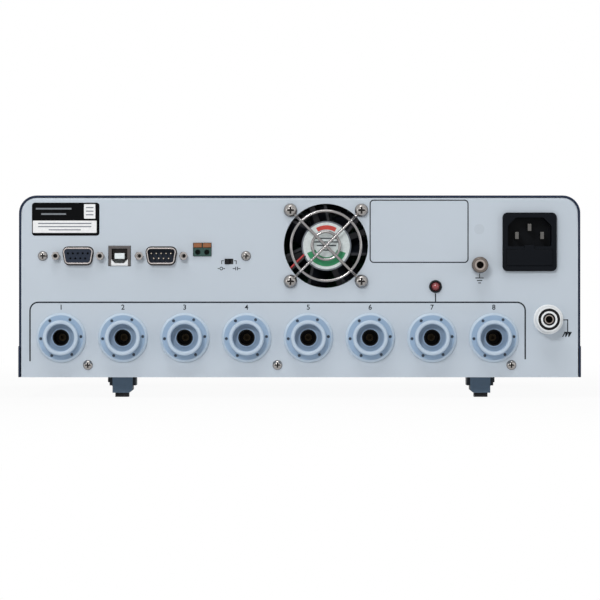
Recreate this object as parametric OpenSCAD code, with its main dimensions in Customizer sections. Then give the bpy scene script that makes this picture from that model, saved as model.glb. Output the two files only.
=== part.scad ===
// Bench hipot tester with a row of high-voltage sockets on its rear panel.
// Millimetres, +Z up. The rear panel faces -Y and the controls face +Y.
// The origin is on the floor, under the middle of the object.

/* [Case] */
// Width over the skirt of the cover
body_w = 317; // [312:1:400]
// Height of the case without its feet
body_h = 102.4; // [98:0.2:140]
// Depth from the face of the rear panel to the front of the bezel
case_depth = 408; // [360:1:480]
// Thickness of the cover sheet
cover_t = 1.2; // [0.8:0.1:2]
// Thickness of the rear panel sheet
panel_t = 1.5; // [1:0.1:2.5]
// Thickness of the tray sheet
tray_t = 1.5; // [1:0.1:2.5]
// Outer radius of the cover's top corners
corner_r = 10; // [6:0.5:14]
// Height of the skirt along the foot of the cover
skirt_h = 17.5; // [14:0.5:24]
// How far the skirt stands out from the sides above it
skirt_step = 0.4; // [0.2:0.1:1]
// How far the rear panel stands out of the cover
cover_setback = 1.2; // [0.4:0.1:2]
// Gap between nested sheets
sheet_gap = 0.2; // [0.1:0.05:0.5]
// Depth of the flange round the rear panel
panel_flange = 12; // [8:1:20]
// Height of the tray's lip behind the rear panel
tray_lip = 9; // [8:0.1:9.4]

/* [Vents] */
// Number of slots in each side of the cover
vent_count = 16; // [4:1:20]
// Distance between slots
vent_pitch = 8; // [6:0.5:10]
// Width of a slot
vent_w = 3.2; // [2:0.2:4]
// Length of a slot
vent_len = 36; // [20:1:44]
// Distance from the rear edge of the cover to the first slot
vent_start = 170; // [120:1:200]

/* [Feet] */
// Height of the case above the floor
foot_h = 11.5; // [11:0.5:20]
// Distance between the rear feet
rear_foot_spread = 202.8; // [160:0.2:240]
// Distance between the front feet
front_foot_spread = 229.5; // [180:0.5:260]
// How far the feet sit to one side of the middle
feet_shift = 1; // [0:0.1:2]
// Distance from the rear panel to the rear feet
rear_foot_inset = 18; // [14:1:60]
// Distance from the bezel to the front feet
front_foot_inset = 3; // [1:1:60]
// Width of a rear foot's root
foot_root_w = 15; // [12:0.5:24]
// Height of a rear foot's root
foot_root_h = 5; // [3:0.5:8]
// Width of a rear foot's block
foot_block_w = 11.4; // [9:0.2:12]
// Length of a foot, front to back
foot_len = 22; // [18:1:40]
// Corner cut off the inner edge of a rear foot
foot_cut = 2; // [1:0.2:3]
// Width of a front foot
front_foot_w = 17.8; // [17:0.2:26]
// Height of a rubber pad
pad_h = 2.4; // [1.5:0.1:4]
// Width of a rubber pad
pad_w = 7.6; // [6:0.2:8.6]
// Length of a rubber pad
pad_len = 14; // [10:1:16]
// Length of a tilt leg from its pivot
tilt_leg_len = 32; // [20:1:40]
// Thickness of a tilt leg
tilt_leg_t = 4.2; // [3:0.2:4.4]
// Width of a tilt leg
tilt_leg_w = 9.4; // [8:0.2:10]
// Diameter of a tilt leg's pivot pins
tilt_pin_d = 3; // [2:0.2:3.4]

/* [High voltage sockets] */
// Distance from the left of the case to the first socket
hv_left_in = 24.2; // [22:0.1:26]
// Distance from the right of the case to the last socket
hv_right_in = 49.2; // [48:0.1:52]
// Height of the row above the underside of the case
hv_row_up = 22.3; // [22:0.1:24]
// Diameter of the flange at the panel
hv_flange_d = 27.8; // [25:0.1:28.6]
// Diameter of the flange's flat face
hv_flange_face_d = 25.3; // [24.6:0.1:25.6]
// Thickness of the flange
hv_flange_t = 3; // [2:0.1:5]
// Diameter of the collar
hv_collar_d = 19.9; // [18.6:0.1:20.4]
// How far the collar stands out of the panel
hv_collar_out = 9.5; // [7:0.5:14]
// Diameter of the recess in the collar
hv_recess_d = 15.3; // [13:0.1:16]
// Height of the recess's floor above the panel
hv_recess_floor = 2.4; // [0.5:0.1:4]
// Diameter of the lip round the bore
hv_lip_d = 10.8; // [10.4:0.1:12]
// Height of the lip
hv_lip_h = 0.7; // [0.3:0.1:1.5]
// Diameter of the black liner
hv_liner_d = 9.3; // [8.8:0.1:9.8]
// Diameter of the bore that takes a test plug
hv_bore_d = 8; // [6:0.1:8.2]
// Depth of the bore behind the face of the panel
hv_bore_depth = 17; // [12:0.5:22]
// Thickness of the floors behind the bore
hv_floor_t = 1.6; // [1:0.1:3]
// Diameter of the spanner holes
hv_spanner_d = 1.7; // [1:0.1:2]
// Diameter of the circle of spanner holes
hv_spanner_pcd = 22.6; // [22.4:0.1:22.8]
// Diameter of the contact tube
hv_contact_d = 4; // [3:0.1:5]
// Thickness of the nut behind the panel
hv_nut_t = 4; // [3:0.5:6]

/* [Fan] */
// Middle of the fan, from the middle of the panel
fan_x = 14.8; // [10:0.2:20]
// Distance from the top of the case to the middle of the fan
fan_down = 28.4; // [27.5:0.1:32]
// Side of the fan's frame
fan_size = 50; // [50:0.1:51]
// Distance between the fan's screws
fan_hole_pitch = 40; // [39.6:0.1:41]
// Depth of the fan's frame
fan_depth = 15; // [12:1:25]
// Diameter of the opening in the panel
fan_opening_d = 47.4; // [44:0.2:47.8]
// Diameter of the motor's round base
fan_motor_d = 27.6; // [24:0.2:30]
// Number of blades
fan_blades = 7; // [5:1:9]
// Thickness of the guard's wire
guard_wire = 1.6; // [1.2:0.1:2]
// Diameter of the guard's large ring
guard_ring_d = 39.3; // [34:0.1:41]
// Diameter of the guard's small ring
guard_ring_small_d = 15.6; // [10:0.2:24]

/* [Mains inlet] */
// Distance from the right side of the case to the middle of the inlet
inlet_in = 29.1; // [26:0.1:32]
// Distance from the top of the case to the middle of the inlet
inlet_down = 26.2; // [24:0.1:30]
// Width of the inlet's flange
inlet_w = 30.5; // [30:0.1:34]
// Height of the inlet's flange
inlet_h = 33; // [32.6:0.1:36]
// Thickness of the inlet's flange
inlet_t = 2.6; // [2:0.1:4]
// Depth of the inlet's body behind the panel
inlet_body_depth = 27; // [25:1:36]
// How far the fuse drawer pulls out
drawer_travel = 20; // [14:1:24]

/* [Ports] */
// Distance from the top of the case to the row of ports
port_down = 34.1; // [33:0.1:36]
// Distance from the left side of the case to the serial port
serial_in = 33.8; // [32:0.1:36]
// Distance from the left side of the case to the USB port
usb_in = 57.1; // [56.4:0.1:57.6]
// Distance from the left side of the case to the signal port
signal_in = 80.6; // [80:0.1:82]
// Distance from the left side of the case to the interlock terminal
interlock_in = 103.7; // [102:0.1:105]
// Height of the interlock terminal above the row of ports
interlock_up = 3.6; // [2.6:0.1:4.6]
// Distance from the left side of the case to the selector switch
selector_in = 118.7; // [118:0.1:120]
// Drop of the selector switch below the row of ports
selector_drop = 3.1; // [2.6:0.1:3.2]
// Travel of the selector switch
selector_travel = 2; // [1.5:0.1:2.4]
// Distance between the two jack screws of a port
jack_pitch = 25; // [24.6:0.1:25.4]
// Width of a port's shell
port_shell_w = 17.4; // [16:0.1:18]
// Height of a port's shell
port_shell_h = 9.2; // [8.4:0.1:9.6]
// How far a port's shell stands out of the panel
port_shell_out = 4.6; // [3:0.1:6]

/* [Terminals] */
// Distance from the right side of the case to the indicator lamp
indicator_in = 82; // [76:0.5:86]
// Height of the indicator lamp above the underside of the case
indicator_up = 51.1; // [50:0.1:54]
// Diameter of the indicator's black bezel
indicator_d = 7.4; // [7:0.1:9]
// Distance from the right side of the case to the ground post
ground_in = 57.2; // [54:0.1:58]
// Distance from the top of the case to the ground post
ground_down = 39.2; // [36:0.1:41]
// Diameter of the ground post
ground_d = 9.2; // [8:0.1:11]
// How far the ground post stands out
ground_out = 9; // [6:0.5:12]
// Distance from the right side of the case to the return terminal
return_in = 18.6; // [17:0.1:19.4]
// Height of the return terminal above the underside of the case
return_up = 32.6; // [31:0.1:34]
// Diameter of the return terminal's white base
return_d = 16.8; // [15.4:0.1:17.4]
// How far the return terminal stands out
return_out = 12; // [10:0.5:14]
// Diameter of the 4 mm test-plug bores
plug_bore_d = 4; // [3.9:0.05:4.2]

/* [Front] */
// How far the bezel stands out past the cover at the sides and top
bezel_lap = 1.5; // [1:0.5:3]
// Depth of the bezel
bezel_depth = 28; // [22:1:40]
// Width of the bezel's front rim
bezel_rim = 9; // [7:0.5:12]
// Thickness of the bezel's front rim
bezel_rim_t = 4; // [2:0.5:6]
// Thickness of the bezel's walls
bezel_wall = 3; // [2:0.2:4]
// Thickness of the front panel
front_t = 2.5; // [2:0.1:4]
// Width of the display window
display_w = 100; // [80:1:106]
// Height of the display window
display_h = 60; // [50:1:64]
// Distance from the left of the front view's case to the middle of the display
display_in = 84; // [80:1:86]
// Distance between soft keys
softkey_pitch = 14; // [12:0.5:16]
// Width of a soft key
softkey_w = 13; // [10:0.5:16]
// Height of a soft key
softkey_h = 8; // [6:0.5:9]
// Travel of a soft key
softkey_travel = 1.2; // [0.8:0.1:1.6]
// Diameter of the adjusting knob
knob_d = 32; // [26:0.5:36]
// How far the knob stands out of the bezel
knob_out = 13; // [8:0.5:20]
// Diameter of the knob's shaft
knob_shaft_d = 6; // [5:0.1:8]
// Diameter of the start and stop buttons
action_d = 21; // [16:0.5:24]
// Travel of the start and stop buttons
action_travel = 2.5; // [1.5:0.1:3]
// Side of the power button
power_side = 14; // [10:0.5:15]
// Travel of the power button
power_travel = 2.5; // [1.5:0.1:3]

/* [Fits] */
// Clearance round a pushed key or a drawer
slide_gap = 0.3; // [0.2:0.05:0.5]
// Radial clearance of a turning shaft
running_gap = 0.05; // [0.02:0.01:0.1]
// Clearance between pieces that are pressed or screwed together
fixed_gap = 0.05; // [0.03:0.01:0.1]
// Gap between a part and the hole in the panel that it passes
hole_gap = 0.25; // [0.1:0.05:0.4]

/* [Hidden] */
$fn = 64;
eps = 0.1;
cut = 1;
socket_count = 8;

// Places of the main faces
base_z = foot_h;
top_z = foot_h + body_h;
rear_reach = max(return_out, ground_out, hv_collar_out);
front_reach = knob_out;
rear_y = -(case_depth + front_reach - rear_reach) / 2;
front_y = rear_y + case_depth;
half_w = body_w / 2;
upper_w = body_w - 2 * skirt_step;
lined_w = upper_w - 2 * (cover_t + sheet_gap);
lined_top = top_z - cover_t - sheet_gap;
lined_r = corner_r - cover_t - sheet_gap;
tray_w = body_w - 2 * (cover_t + sheet_gap);
panel_in_y = rear_y + panel_t;
cover_front_y = front_y - bezel_depth;
cover_rear_y = rear_y + cover_setback;
tray_top_z = base_z + tray_t;
tray_flange = skirt_h - cover_t - sheet_gap - 1;
mid_z = base_z + body_h / 2;

// Places on the rear panel, in X and Z
hv_pitch = (body_w - hv_left_in - hv_right_in) / (socket_count - 1);
hv_row_x = (hv_left_in - hv_right_in) / 2;
function hv_x(i) = hv_row_x + (i - (socket_count + 1) / 2) * hv_pitch;
hv_z = base_z + hv_row_up;
fan_z = top_z - fan_down;
inlet_x = half_w - inlet_in;
inlet_z = top_z - inlet_down;
port_z = top_z - port_down;
serial_x = serial_in - half_w;
usb_x = usb_in - half_w;
signal_x = signal_in - half_w;
interlock_x = interlock_in - half_w;
interlock_z = port_z + interlock_up;
selector_x = selector_in - half_w;
selector_z = port_z - selector_drop;
indicator_x = half_w - indicator_in;
indicator_z = base_z + indicator_up;
ground_x = half_w - ground_in;
ground_z = top_z - ground_down;
return_x = half_w - return_in;
return_z = base_z + return_up;

// Panel screws
screw_d = 3;
screw_head_d = 5.6;
screw_head_h = 1.9;
screw_hole_d = 3.4;
screw_len = 7;
io_screw_out = 19.9;
io_screw_in = 9.6;
io_screw_x = [serial_x - io_screw_out, selector_x + io_screw_in];
base_screw_in = 39.3;
base_screw_x = [base_screw_in - half_w, hv_row_x, half_w - base_screw_in];
base_screw_up = 6.9;
base_screw_z = base_z + base_screw_up;
side_screw_up = 9;
side_screw_in = 60;
side_screw_y = [cover_rear_y + side_screw_in, cover_front_y - side_screw_in];
side_head_d = 5.6;

// High voltage socket pieces
hv_rim = 0.7;
hv_edge = 1;
hv_barrel_d = hv_collar_d - 0.4;
hv_liner_floor = 1.5;
hv_barrel_len = hv_bore_depth + hv_liner_floor + hv_floor_t;
hv_spanner_count = 6;
hv_spanner_turn = 3;
hv_spanner_depth = 1.6;
hv_liner_sink = 0.4;
hv_nut_wall = 2.8;
hv_contact_bore_d = 2.4;
hv_contact_bore_depth = 9;
relay_gap = 8;
relay_face_y = rear_y + hv_barrel_len + relay_gap;

// Fan pieces
fan_wall = 1.2;
fan_duct_d = fan_size - 2 * fan_wall;
fan_strut_w = 3.2;
fan_strut_t = 2.2;
fan_strut_count = 4;
fan_strut_turn = 20;
fan_corner_r = 3.4;
fan_rotor_gap = 0.5;
fan_tip_gap = 0.7;
fan_cup_d = fan_motor_d - 1.6;
fan_cup_wall = 1.4;
fan_shaft_d = 3;
fan_bush_d = 7;
fan_blade_t = 1.2;
fan_blade_pitch = 38;
fan_screw_d = 4;
fan_screw_head_d = 7.2;
fan_screw_head_h = 2.3;
fan_screw_len = 16;
guard_lift = 2.9;
guard_rise = 1.2;
guard_eye_r = 3;
guard_bend_in = 2.8;
guard_flat = 0.1;

// Mains inlet pieces, placed from the middle of the flange
inlet_corner_r = 2.8;
inlet_body_w = 27.4;
inlet_body_h = 30.2;
socket_w = 24.6;
socket_h = 16.2;
socket_up = 5.6;
socket_depth = 14;
socket_chamfer = 4.6;
socket_corner_r = 1;
blade_w = 2;
blade_h = 4;
blade_len = 12;
blade_tail = 8;
blade_pitch = 14.2;
blade_low = 2;
blade_high = 2.6;
drawer_w = 26;
drawer_h = 9.2;
drawer_drop = 8.9;
drawer_face_t = 1.6;
drawer_body_w = 24;
drawer_body_h = 8.4;
drawer_body_depth = 21;
drawer_tab_w = 5.7;
drawer_tab_h = 2.4;
fuse_d = 5.2;
fuse_len = 20;
fuse_back = 11;
fuse_cap_len = 4.6;
fuse_glass_d = 4.6;
fuse_room = 0.2;

// Port pieces
shell_wall = 0.7;
shell_corner_r = 2.4;
shell_slope = 10;
shell_flange_w = 31;
shell_flange_h = 12.4;
shell_flange_t = 1;
port_cut_gap = 0.8;
insert_back = 9;
insert_back_w = 19;
insert_back_h = 10.4;
pin_pitch = 2.77;
pin_row = 2.84;
pin_d = 1;
pin_hole_d = 1.2;
pin_hole_depth = 4;
serial_face_sink = 0.4;
signal_floor_sink = 6.2;
pin_tip_sink = 1;
jack_d = 4.9;
jack_out = 4.6;
jack_bore_d = 2.4;
jack_bore_depth = 6;
jack_shank_d = 3;
jack_shank_len = 6;
usb_w = 12.2;
usb_h = 11;
usb_wall = 0.8;
usb_face_t = 1;
usb_open_w = 8.8;
usb_open_h = 8.2;
usb_bevel = 1.9;
usb_out = 0.8;
usb_depth = 15;
tongue_w = 5.6;
tongue_h = 3.2;
tongue_sink = 1.2;
interlock_w = 10;
interlock_h = 7.2;
interlock_out = 1;
interlock_back = 11;
wire_hole_d = 3;
wire_hole_pitch = 5.1;
wire_hole_depth = 9;
wire_hole_drop = 1.5;
lever_h = 2.4;
lever_w = 4.6;
lever_web = 0.3;
lever_out = 0.8;
lever_len = 6;
lever_travel = 0.8;
selector_nub_w = 2.3;
selector_nub_h = 2.5;
selector_nub_out = 1.8;
selector_foot_w = 4;
selector_foot_h = 3.6;
selector_foot_t = 1.2;
selector_box_w = 10;
selector_box_depth = 6;

// Boards
board_t = 1.6;
io_board_z = port_z - usb_h / 2 - slide_gap - board_t;
io_board_len = 44;
io_board_gap = 2.4;
io_tab_w = 8;
io_tab_t = 3;
standoff_h = 8;
standoff_d = 7;
board_z = tray_top_z + standoff_h;
relay_w = 20;
relay_len = 32;
relay_h = 24;
relay_board_len = 52;
main_board_len = 230;
main_board_gap = 14;
main_board_y = relay_face_y + relay_board_len + main_board_gap;
main_board_in = 18.5;
transformer_in = 70.5;
transformer_x = half_w - transformer_in;
transformer_w = 96;
transformer_gap = 20;
main_board_x = [main_board_in - half_w, transformer_x - transformer_w / 2 - transformer_gap];
transformer_len = 78;
transformer_h = 66;
transformer_coil_out = 12;
transformer_foot = 10;
transformer_foot_t = 3;
transformer_back = 60;
transformer_y = main_board_y + transformer_back;

// Terminals
indicator_barrel_d = 6.2;
indicator_lens_d = 5;
indicator_out = 1.8;
indicator_depth = 9;
ground_stud_d = 5;
ground_stud_len = 12;
ground_nut_d = 8.6;
ground_nut_t = 3;
ground_chamfer = 0.8;
plug_depth = 14;
return_base_t = 4;
return_body_d = 14.4;
return_ring_d = 12.2;
return_ring_depth = 3;
return_core_d = 9.2;
return_sleeve_d = 7;
return_jack_d = 5;
return_barrel_d = 10;
return_barrel_len = 10;
return_nut_t = 4;
return_nut_d = 14;

// Front pieces, placed in the view from the front
bezel_w = body_w + 2 * bezel_lap;
bezel_drop = 1;
bezel_low = base_z - bezel_drop;
bezel_h = top_z + bezel_lap - bezel_low;
bezel_mid_z = bezel_low + bezel_h / 2;
bezel_r = corner_r + bezel_lap;
opening_r = 6;
opening_w = bezel_w - 2 * bezel_rim;
opening_h = bezel_h - 2 * bezel_rim;
panel_seat = 3.5;
front_face_y = front_y - bezel_rim_t;
front_back_y = front_face_y - front_t;
display_u = display_in - half_w;
display_z = bezel_mid_z + 6;
display_corner_r = 3;
softkey_count = 4;
softkey_out = 2;
key_flange = 0.8;
key_flange_t = 1;
key_corner_r = 1.5;
action_z = bezel_mid_z + 8;
action_out = 4;
knob_z = bezel_mid_z + 8;
knob_gap = 0.6;
knob_edge = 2;
knob_flutes = 24;
knob_flute_d = 3;
shaft_len = 8;
power_u = 19 - half_w;
power_z = bezel_low + bezel_rim + 12;
power_out = 3;
front_board_gap = 9;
front_board_margin = 4;
front_post_d = 6;
switch_side = 6;

// Gaps from the display to the soft keys, knob, stop, start and the rim share the free width
front_gap_shares = [2.3, 4.7, 5.3, 1.8, 3.6];
display_right = display_u + display_w / 2;
front_free = opening_w / 2 - display_right - softkey_w - knob_d - 2 * action_d;
front_gap = front_free / (front_gap_shares * [1, 1, 1, 1, 1]);
softkey_u = display_right + front_gap_shares[0] * front_gap + softkey_w / 2;
knob_u = softkey_u + softkey_w / 2 + front_gap_shares[1] * front_gap + knob_d / 2;
stop_u = knob_u + knob_d / 2 + front_gap_shares[2] * front_gap + action_d / 2;
start_u = stop_u + action_d + front_gap_shares[3] * front_gap;
lcd_margin = 2;
encoder_side = 14;

// Feet
foot_block_h = foot_h - pad_h;
rear_foot_y = rear_y + rear_foot_inset;
root_back = 3;
front_foot_y = cover_front_y - front_foot_inset;
front_foot_top_t = 3.6;
front_foot_len = foot_len + tilt_leg_len;
cheek_t = (front_foot_w - tilt_leg_w) / 2 - slide_gap;
cheek_len = 11;
tilt_pivot_y = front_foot_y - foot_len + 5;
tilt_pivot_z = base_z - front_foot_top_t - slide_gap - tilt_leg_t / 2;

SOCKETS = [for (i = [1:socket_count]) str("hv_socket_", i)];
SOFTKEYS = [for (i = [1:softkey_count]) str("softkey_", i)];

// Corner points of an outline replaced by arcs of one radius
function unit(v) = v / norm(v);
function turn_between(a, b) = let (d = b - a) d > 180 ? d - 360 : d < -180 ? d + 360 : d;
function rounded(p, r, steps = 6) = [
    for (i = [0:len(p) - 1])
        let (n = len(p), b = p[i], u = unit(p[(i + n - 1) % n] - b), v = unit(p[(i + 1) % n] - b),
             half = acos(u * v) / 2, c = b + unit(u + v) * r / sin(half),
             s = b + u * r / tan(half) - c, e = b + v * r / tan(half) - c,
             a0 = atan2(s[1], s[0]), da = turn_between(a0, atan2(e[1], e[0])))
        for (k = [0:steps]) c + r * [cos(a0 + da * k / steps), sin(a0 + da * k / steps)]];

// Wide edge up, sides sloping in towards the bottom
function port_outline(w, h) =
    let (d = h * tan(shell_slope))
    [[w / 2, h / 2], [-w / 2, h / 2], [-w / 2 + d, -h / 2], [w / 2 - d, -h / 2]];

// Children drawn in X and Z of the rear panel's face, and rising out of it
module on_rear(x, z) translate([x, rear_y, z]) rotate([90, 0, 0]) children();

// Children drawn in the front panel's face as seen from the front, and rising out of it
module on_front(u, z) translate([-u, front_face_y, z]) rotate([90, 0, 180]) children();

// Flat outline extruded along Y, from low to high
module along_y(low, high) translate([0, high, 0]) rotate([90, 0, 0]) linear_extrude(high - low) children();

module rounded_rect(w, h, r) {
    square([w - 2 * r, h], center = true);
    square([w, h - 2 * r], center = true);
    for (x = [-1, 1], y = [-1, 1])
        translate([x * (w / 2 - r), y * (h / 2 - r)]) circle(r);
}

// Outline with square lower corners and round upper ones
module arch(w, low, high, r) {
    translate([-w / 2, low]) square([w, high - low - r]);
    translate([-w / 2 + r, low]) square([w - 2 * r, high - low]);
    for (s = [-1, 1])
        translate([s * (w / 2 - r), high - r]) circle(r);
}

module box(x, y, z) translate([x[0], y[0], z[0]]) cube([x[1] - x[0], y[1] - y[0], z[1] - z[0]]);

// Domed screw head with a cross recess, standing on its seat, and its shank below
module pan_screw(head_d, head_h, shank_d, shank_len) {
    dome_r = head_d * 0.58;
    slot_w = head_d * 0.15;
    slot_len = head_d * 0.56;
    slot_depth = head_h * 0.6;
    difference() {
        intersection() {
            cylinder(d = head_d, h = head_h);
            translate([0, 0, head_h - dome_r]) sphere(dome_r);
        }
        for (a = [0, 90])
            rotate(a) translate([-slot_len / 2, -slot_w / 2, head_h - slot_depth])
                cube([slot_len, slot_w, head_h]);
    }
    translate([0, 0, -shank_len]) cylinder(d = shank_d, h = shank_len + eps);
}

// Pan and sheet metal of the case
module cover_outline(inset) {
    arch(upper_w - 2 * inset, base_z - (inset > 0 ? cut : 0), top_z - inset, corner_r - inset);
    low = base_z - (inset > 0 ? cut : 0);
    skirt_top = base_z + skirt_h - inset;
    translate([-half_w + inset, low]) square([body_w - 2 * inset, skirt_top - low]);
}

module vent_slots() {
    half = (vent_len - vent_w) / 2;
    for (i = [0:vent_count - 1])
        translate([0, cover_rear_y + vent_start + i * vent_pitch, mid_z]) {
            cube([body_w + 2 * cut, vent_w, 2 * half], center = true);
            for (s = [-1, 1])
                translate([0, 0, s * half]) rotate([0, 90, 0])
                    cylinder(d = vent_w, h = body_w + 2 * cut, center = true);
        }
}

module at_side_screws() {
    for (y = side_screw_y, s = [0, 1])
        mirror([s, 0, 0]) translate([half_w, y, base_z + side_screw_up]) rotate([0, 90, 0]) children();
}

module side_screw_cone(grow) {
    translate([0, 0, -cover_t])
        cylinder(d1 = screw_d + 0.2 + grow, d2 = side_head_d + grow, h = cover_t);
}

module top_cover() color("#3a4656") difference() {
    along_y(cover_rear_y, cover_front_y) difference() {
        cover_outline(0);
        cover_outline(cover_t);
    }
    vent_slots();
    at_side_screws() {
        side_screw_cone(2 * fixed_gap);
        cylinder(d = side_head_d + 2 * fixed_gap, h = cut);
        translate([0, 0, -cover_t - cut]) cylinder(d = screw_d + 0.2, h = 2 * cut);
    }
}

module tray_standoffs() {
    for (x = [hv_x(1) - relay_w / 4, hv_row_x, hv_x(socket_count) + relay_w / 4])
        for (y = [relay_face_y + relay_len + 12])
            translate([x, y, base_z + eps]) cylinder(d = standoff_d, h = standoff_h + tray_t - eps);
    for (x = [main_board_x[0] + standoff_d, main_board_x[1] - standoff_d])
        for (y = [main_board_y + standoff_d, main_board_y + main_board_len - standoff_d])
            translate([x, y, base_z + eps]) cylinder(d = standoff_d, h = standoff_h + tray_t - eps);
}

module chassis_tray() color("#b9c0c6") {
    inner_w = lined_w - 2 * (panel_t + sheet_gap);
    flange_y = rear_y + panel_flange + sheet_gap;
    difference() {
        union() {
            box([-tray_w / 2, tray_w / 2], [flange_y, cover_front_y], [base_z, tray_top_z]);
            box([-inner_w / 2, inner_w / 2], [panel_in_y, flange_y + eps], [base_z, tray_top_z]);
            for (s = [0, 1])
                mirror([s, 0, 0])
                    box([tray_w / 2 - tray_t, tray_w / 2], [flange_y, cover_front_y],
                        [base_z, base_z + tray_flange]);
            box([-inner_w / 2, inner_w / 2], [panel_in_y, panel_in_y + tray_t], [base_z, base_z + tray_lip]);
            box([-tray_w / 2, tray_w / 2], [cover_front_y - tray_t, cover_front_y],
                [base_z, base_z + tray_flange]);
            tray_standoffs();
        }
        at_side_screws() translate([0, 0, -cover_t - sheet_gap - tray_t - cut])
            cylinder(d = screw_d + 2 * fixed_gap, h = tray_t + 2 * cut);
        for (x = base_screw_x)
            on_rear(x, base_screw_z) translate([0, 0, -panel_t - tray_t - cut])
                cylinder(d = screw_d + 2 * fixed_gap, h = tray_t + 2 * cut);
        floor_slots();
    }
}

// Cooling slots in the floor of the tray, under the transformer
module floor_slots() {
    slot_count = 9;
    slot_len = 40;
    slot_pitch = 7;
    for (i = [0:slot_count - 1])
        translate([transformer_x - transformer_w / 2 + transformer_foot + i * slot_pitch,
                   transformer_y + transformer_len + 2 * transformer_foot, base_z - cut])
            cube([vent_w, slot_len, tray_t + 2 * cut]);
}

module port_cut() linear_extrude(panel_t + 2 * cut)
    polygon(rounded(port_outline(port_shell_w + 2 * port_cut_gap, port_shell_h + 2 * port_cut_gap),
                    shell_corner_r + port_cut_gap));

module panel_hole(x, z, d)
    on_rear(x, z) translate([0, 0, -panel_t - cut]) cylinder(d = d, h = panel_t + 2 * cut);

module panel_window(x, z, w, h)
    on_rear(x, z) translate([-w / 2, -h / 2, -panel_t - cut]) cube([w, h, panel_t + 2 * cut]);

module rear_panel() color("#c3ced8") difference() {
    along_y(rear_y, rear_y + panel_flange) arch(lined_w, base_z, lined_top, lined_r);
    along_y(panel_in_y, rear_y + panel_flange + cut)
        arch(lined_w - 2 * panel_t, base_z - cut, lined_top - panel_t, lined_r - panel_t);
    for (i = [1:socket_count])
        panel_hole(hv_x(i), hv_z, hv_barrel_d + 2 * hole_gap);
    panel_hole(fan_x, fan_z, fan_opening_d);
    for (x = [-1, 1], z = [-1, 1])
        panel_hole(fan_x + x * fan_hole_pitch / 2, fan_z + z * fan_hole_pitch / 2,
                   fan_screw_d + 2 * hole_gap);
    panel_window(inlet_x, inlet_z, inlet_body_w + 2 * hole_gap, inlet_body_h + 2 * hole_gap);
    for (x = [serial_x, signal_x]) {
        on_rear(x, port_z) translate([0, 0, -panel_t - cut]) port_cut();
        for (s = [-1, 1])
            panel_hole(x + s * jack_pitch / 2, port_z, jack_shank_d + 2 * hole_gap);
    }
    panel_window(usb_x, port_z, usb_w + 2 * hole_gap, usb_h + 2 * hole_gap);
    panel_window(interlock_x, interlock_z, interlock_w + 2 * hole_gap, interlock_h + 2 * hole_gap);
    panel_window(selector_x, selector_z, selector_nub_w + selector_travel + 2 * slide_gap,
                 selector_nub_h + 2 * slide_gap);
    panel_hole(indicator_x, indicator_z, indicator_barrel_d + 2 * hole_gap);
    panel_hole(ground_x, ground_z, ground_stud_d + 2 * hole_gap);
    panel_hole(return_x, return_z, return_barrel_d + 2 * hole_gap);
    for (x = io_screw_x)
        panel_hole(x, port_z, screw_hole_d);
    for (x = base_screw_x)
        panel_hole(x, base_screw_z, screw_hole_d);
}

module panel_screws() color("#c8c4bd") {
    for (x = io_screw_x)
        on_rear(x, port_z) pan_screw(screw_head_d, screw_head_h, screw_d, screw_len);
    for (x = base_screw_x)
        on_rear(x, base_screw_z) pan_screw(screw_head_d, screw_head_h, screw_d, screw_len);
    at_side_screws() difference() {
        union() {
            side_screw_cone(0);
            translate([0, 0, -screw_len]) cylinder(d = screw_d, h = screw_len - cover_t + eps);
        }
        for (a = [0, 90])
            rotate(a) cube([side_head_d * 0.6, side_head_d * 0.14, cover_t], center = true);
    }
}

// Feet
module rear_feet() color("#465664") translate([feet_shift, 0, 0]) for (s = [0, 1]) mirror([s, 0, 0])
    translate([rear_foot_spread / 2, 0, 0]) {
        w = foot_block_w / 2;
        along_y(rear_foot_y, rear_foot_y + foot_len)
            polygon([[-w, base_z], [-w, pad_h + foot_cut * 0.8], [-w + foot_cut, pad_h],
                     [w, pad_h], [w, base_z]]);
        box([-foot_root_w / 2, foot_root_w / 2],
            [rear_foot_y + root_back, rear_foot_y + foot_len + root_back],
            [base_z - foot_root_h, base_z]);
    }

module front_feet() color("#2c353d") translate([feet_shift, 0, 0]) for (s = [0, 1]) mirror([s, 0, 0])
    translate([front_foot_spread / 2, 0, 0]) {
        w = front_foot_w / 2;
        block_y = tilt_pivot_y + tilt_leg_t / 2 + slide_gap;
        box([-w, w], [front_foot_y - front_foot_len, front_foot_y], [base_z - front_foot_top_t, base_z]);
        box([-w, w], [block_y, front_foot_y], [pad_h, base_z]);
        difference() {
            for (e = [0, 1])
                mirror([e, 0, 0])
                    box([w - cheek_t, w], [tilt_pivot_y - cheek_len / 2, front_foot_y], [pad_h, base_z]);
            translate([0, tilt_pivot_y, tilt_pivot_z]) rotate([0, 90, 0])
                cylinder(d = tilt_pin_d + 2 * running_gap, h = front_foot_w + 2 * cut, center = true);
        }
    }

module foot_pads() color("#111418") translate([feet_shift, 0, 0]) for (s = [0, 1]) mirror([s, 0, 0]) {
    translate([rear_foot_spread / 2 + foot_cut / 4, rear_foot_y + foot_len / 2, 0])
        linear_extrude(pad_h) rounded_rect(pad_w, pad_len, 1);
    translate([front_foot_spread / 2, (tilt_pivot_y + tilt_leg_t / 2 + front_foot_y) / 2, 0])
        linear_extrude(pad_h) rounded_rect(front_foot_w - 4, foot_len - 9.5, 1);
}

// Folded flat under its foot, and hinged at the end nearer the front
module tilt_leg(side) color("#3b4752")
    translate([feet_shift + side * front_foot_spread / 2, tilt_pivot_y, tilt_pivot_z]) {
        rotate([0, 90, 0]) cylinder(d = tilt_leg_t, h = tilt_leg_w, center = true);
        translate([-tilt_leg_w / 2, -tilt_leg_len, -tilt_leg_t / 2])
            cube([tilt_leg_w, tilt_leg_len, tilt_leg_t]);
        rotate([0, 90, 0]) cylinder(d = tilt_pin_d, h = front_foot_w - 1, center = true);
    }

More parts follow.
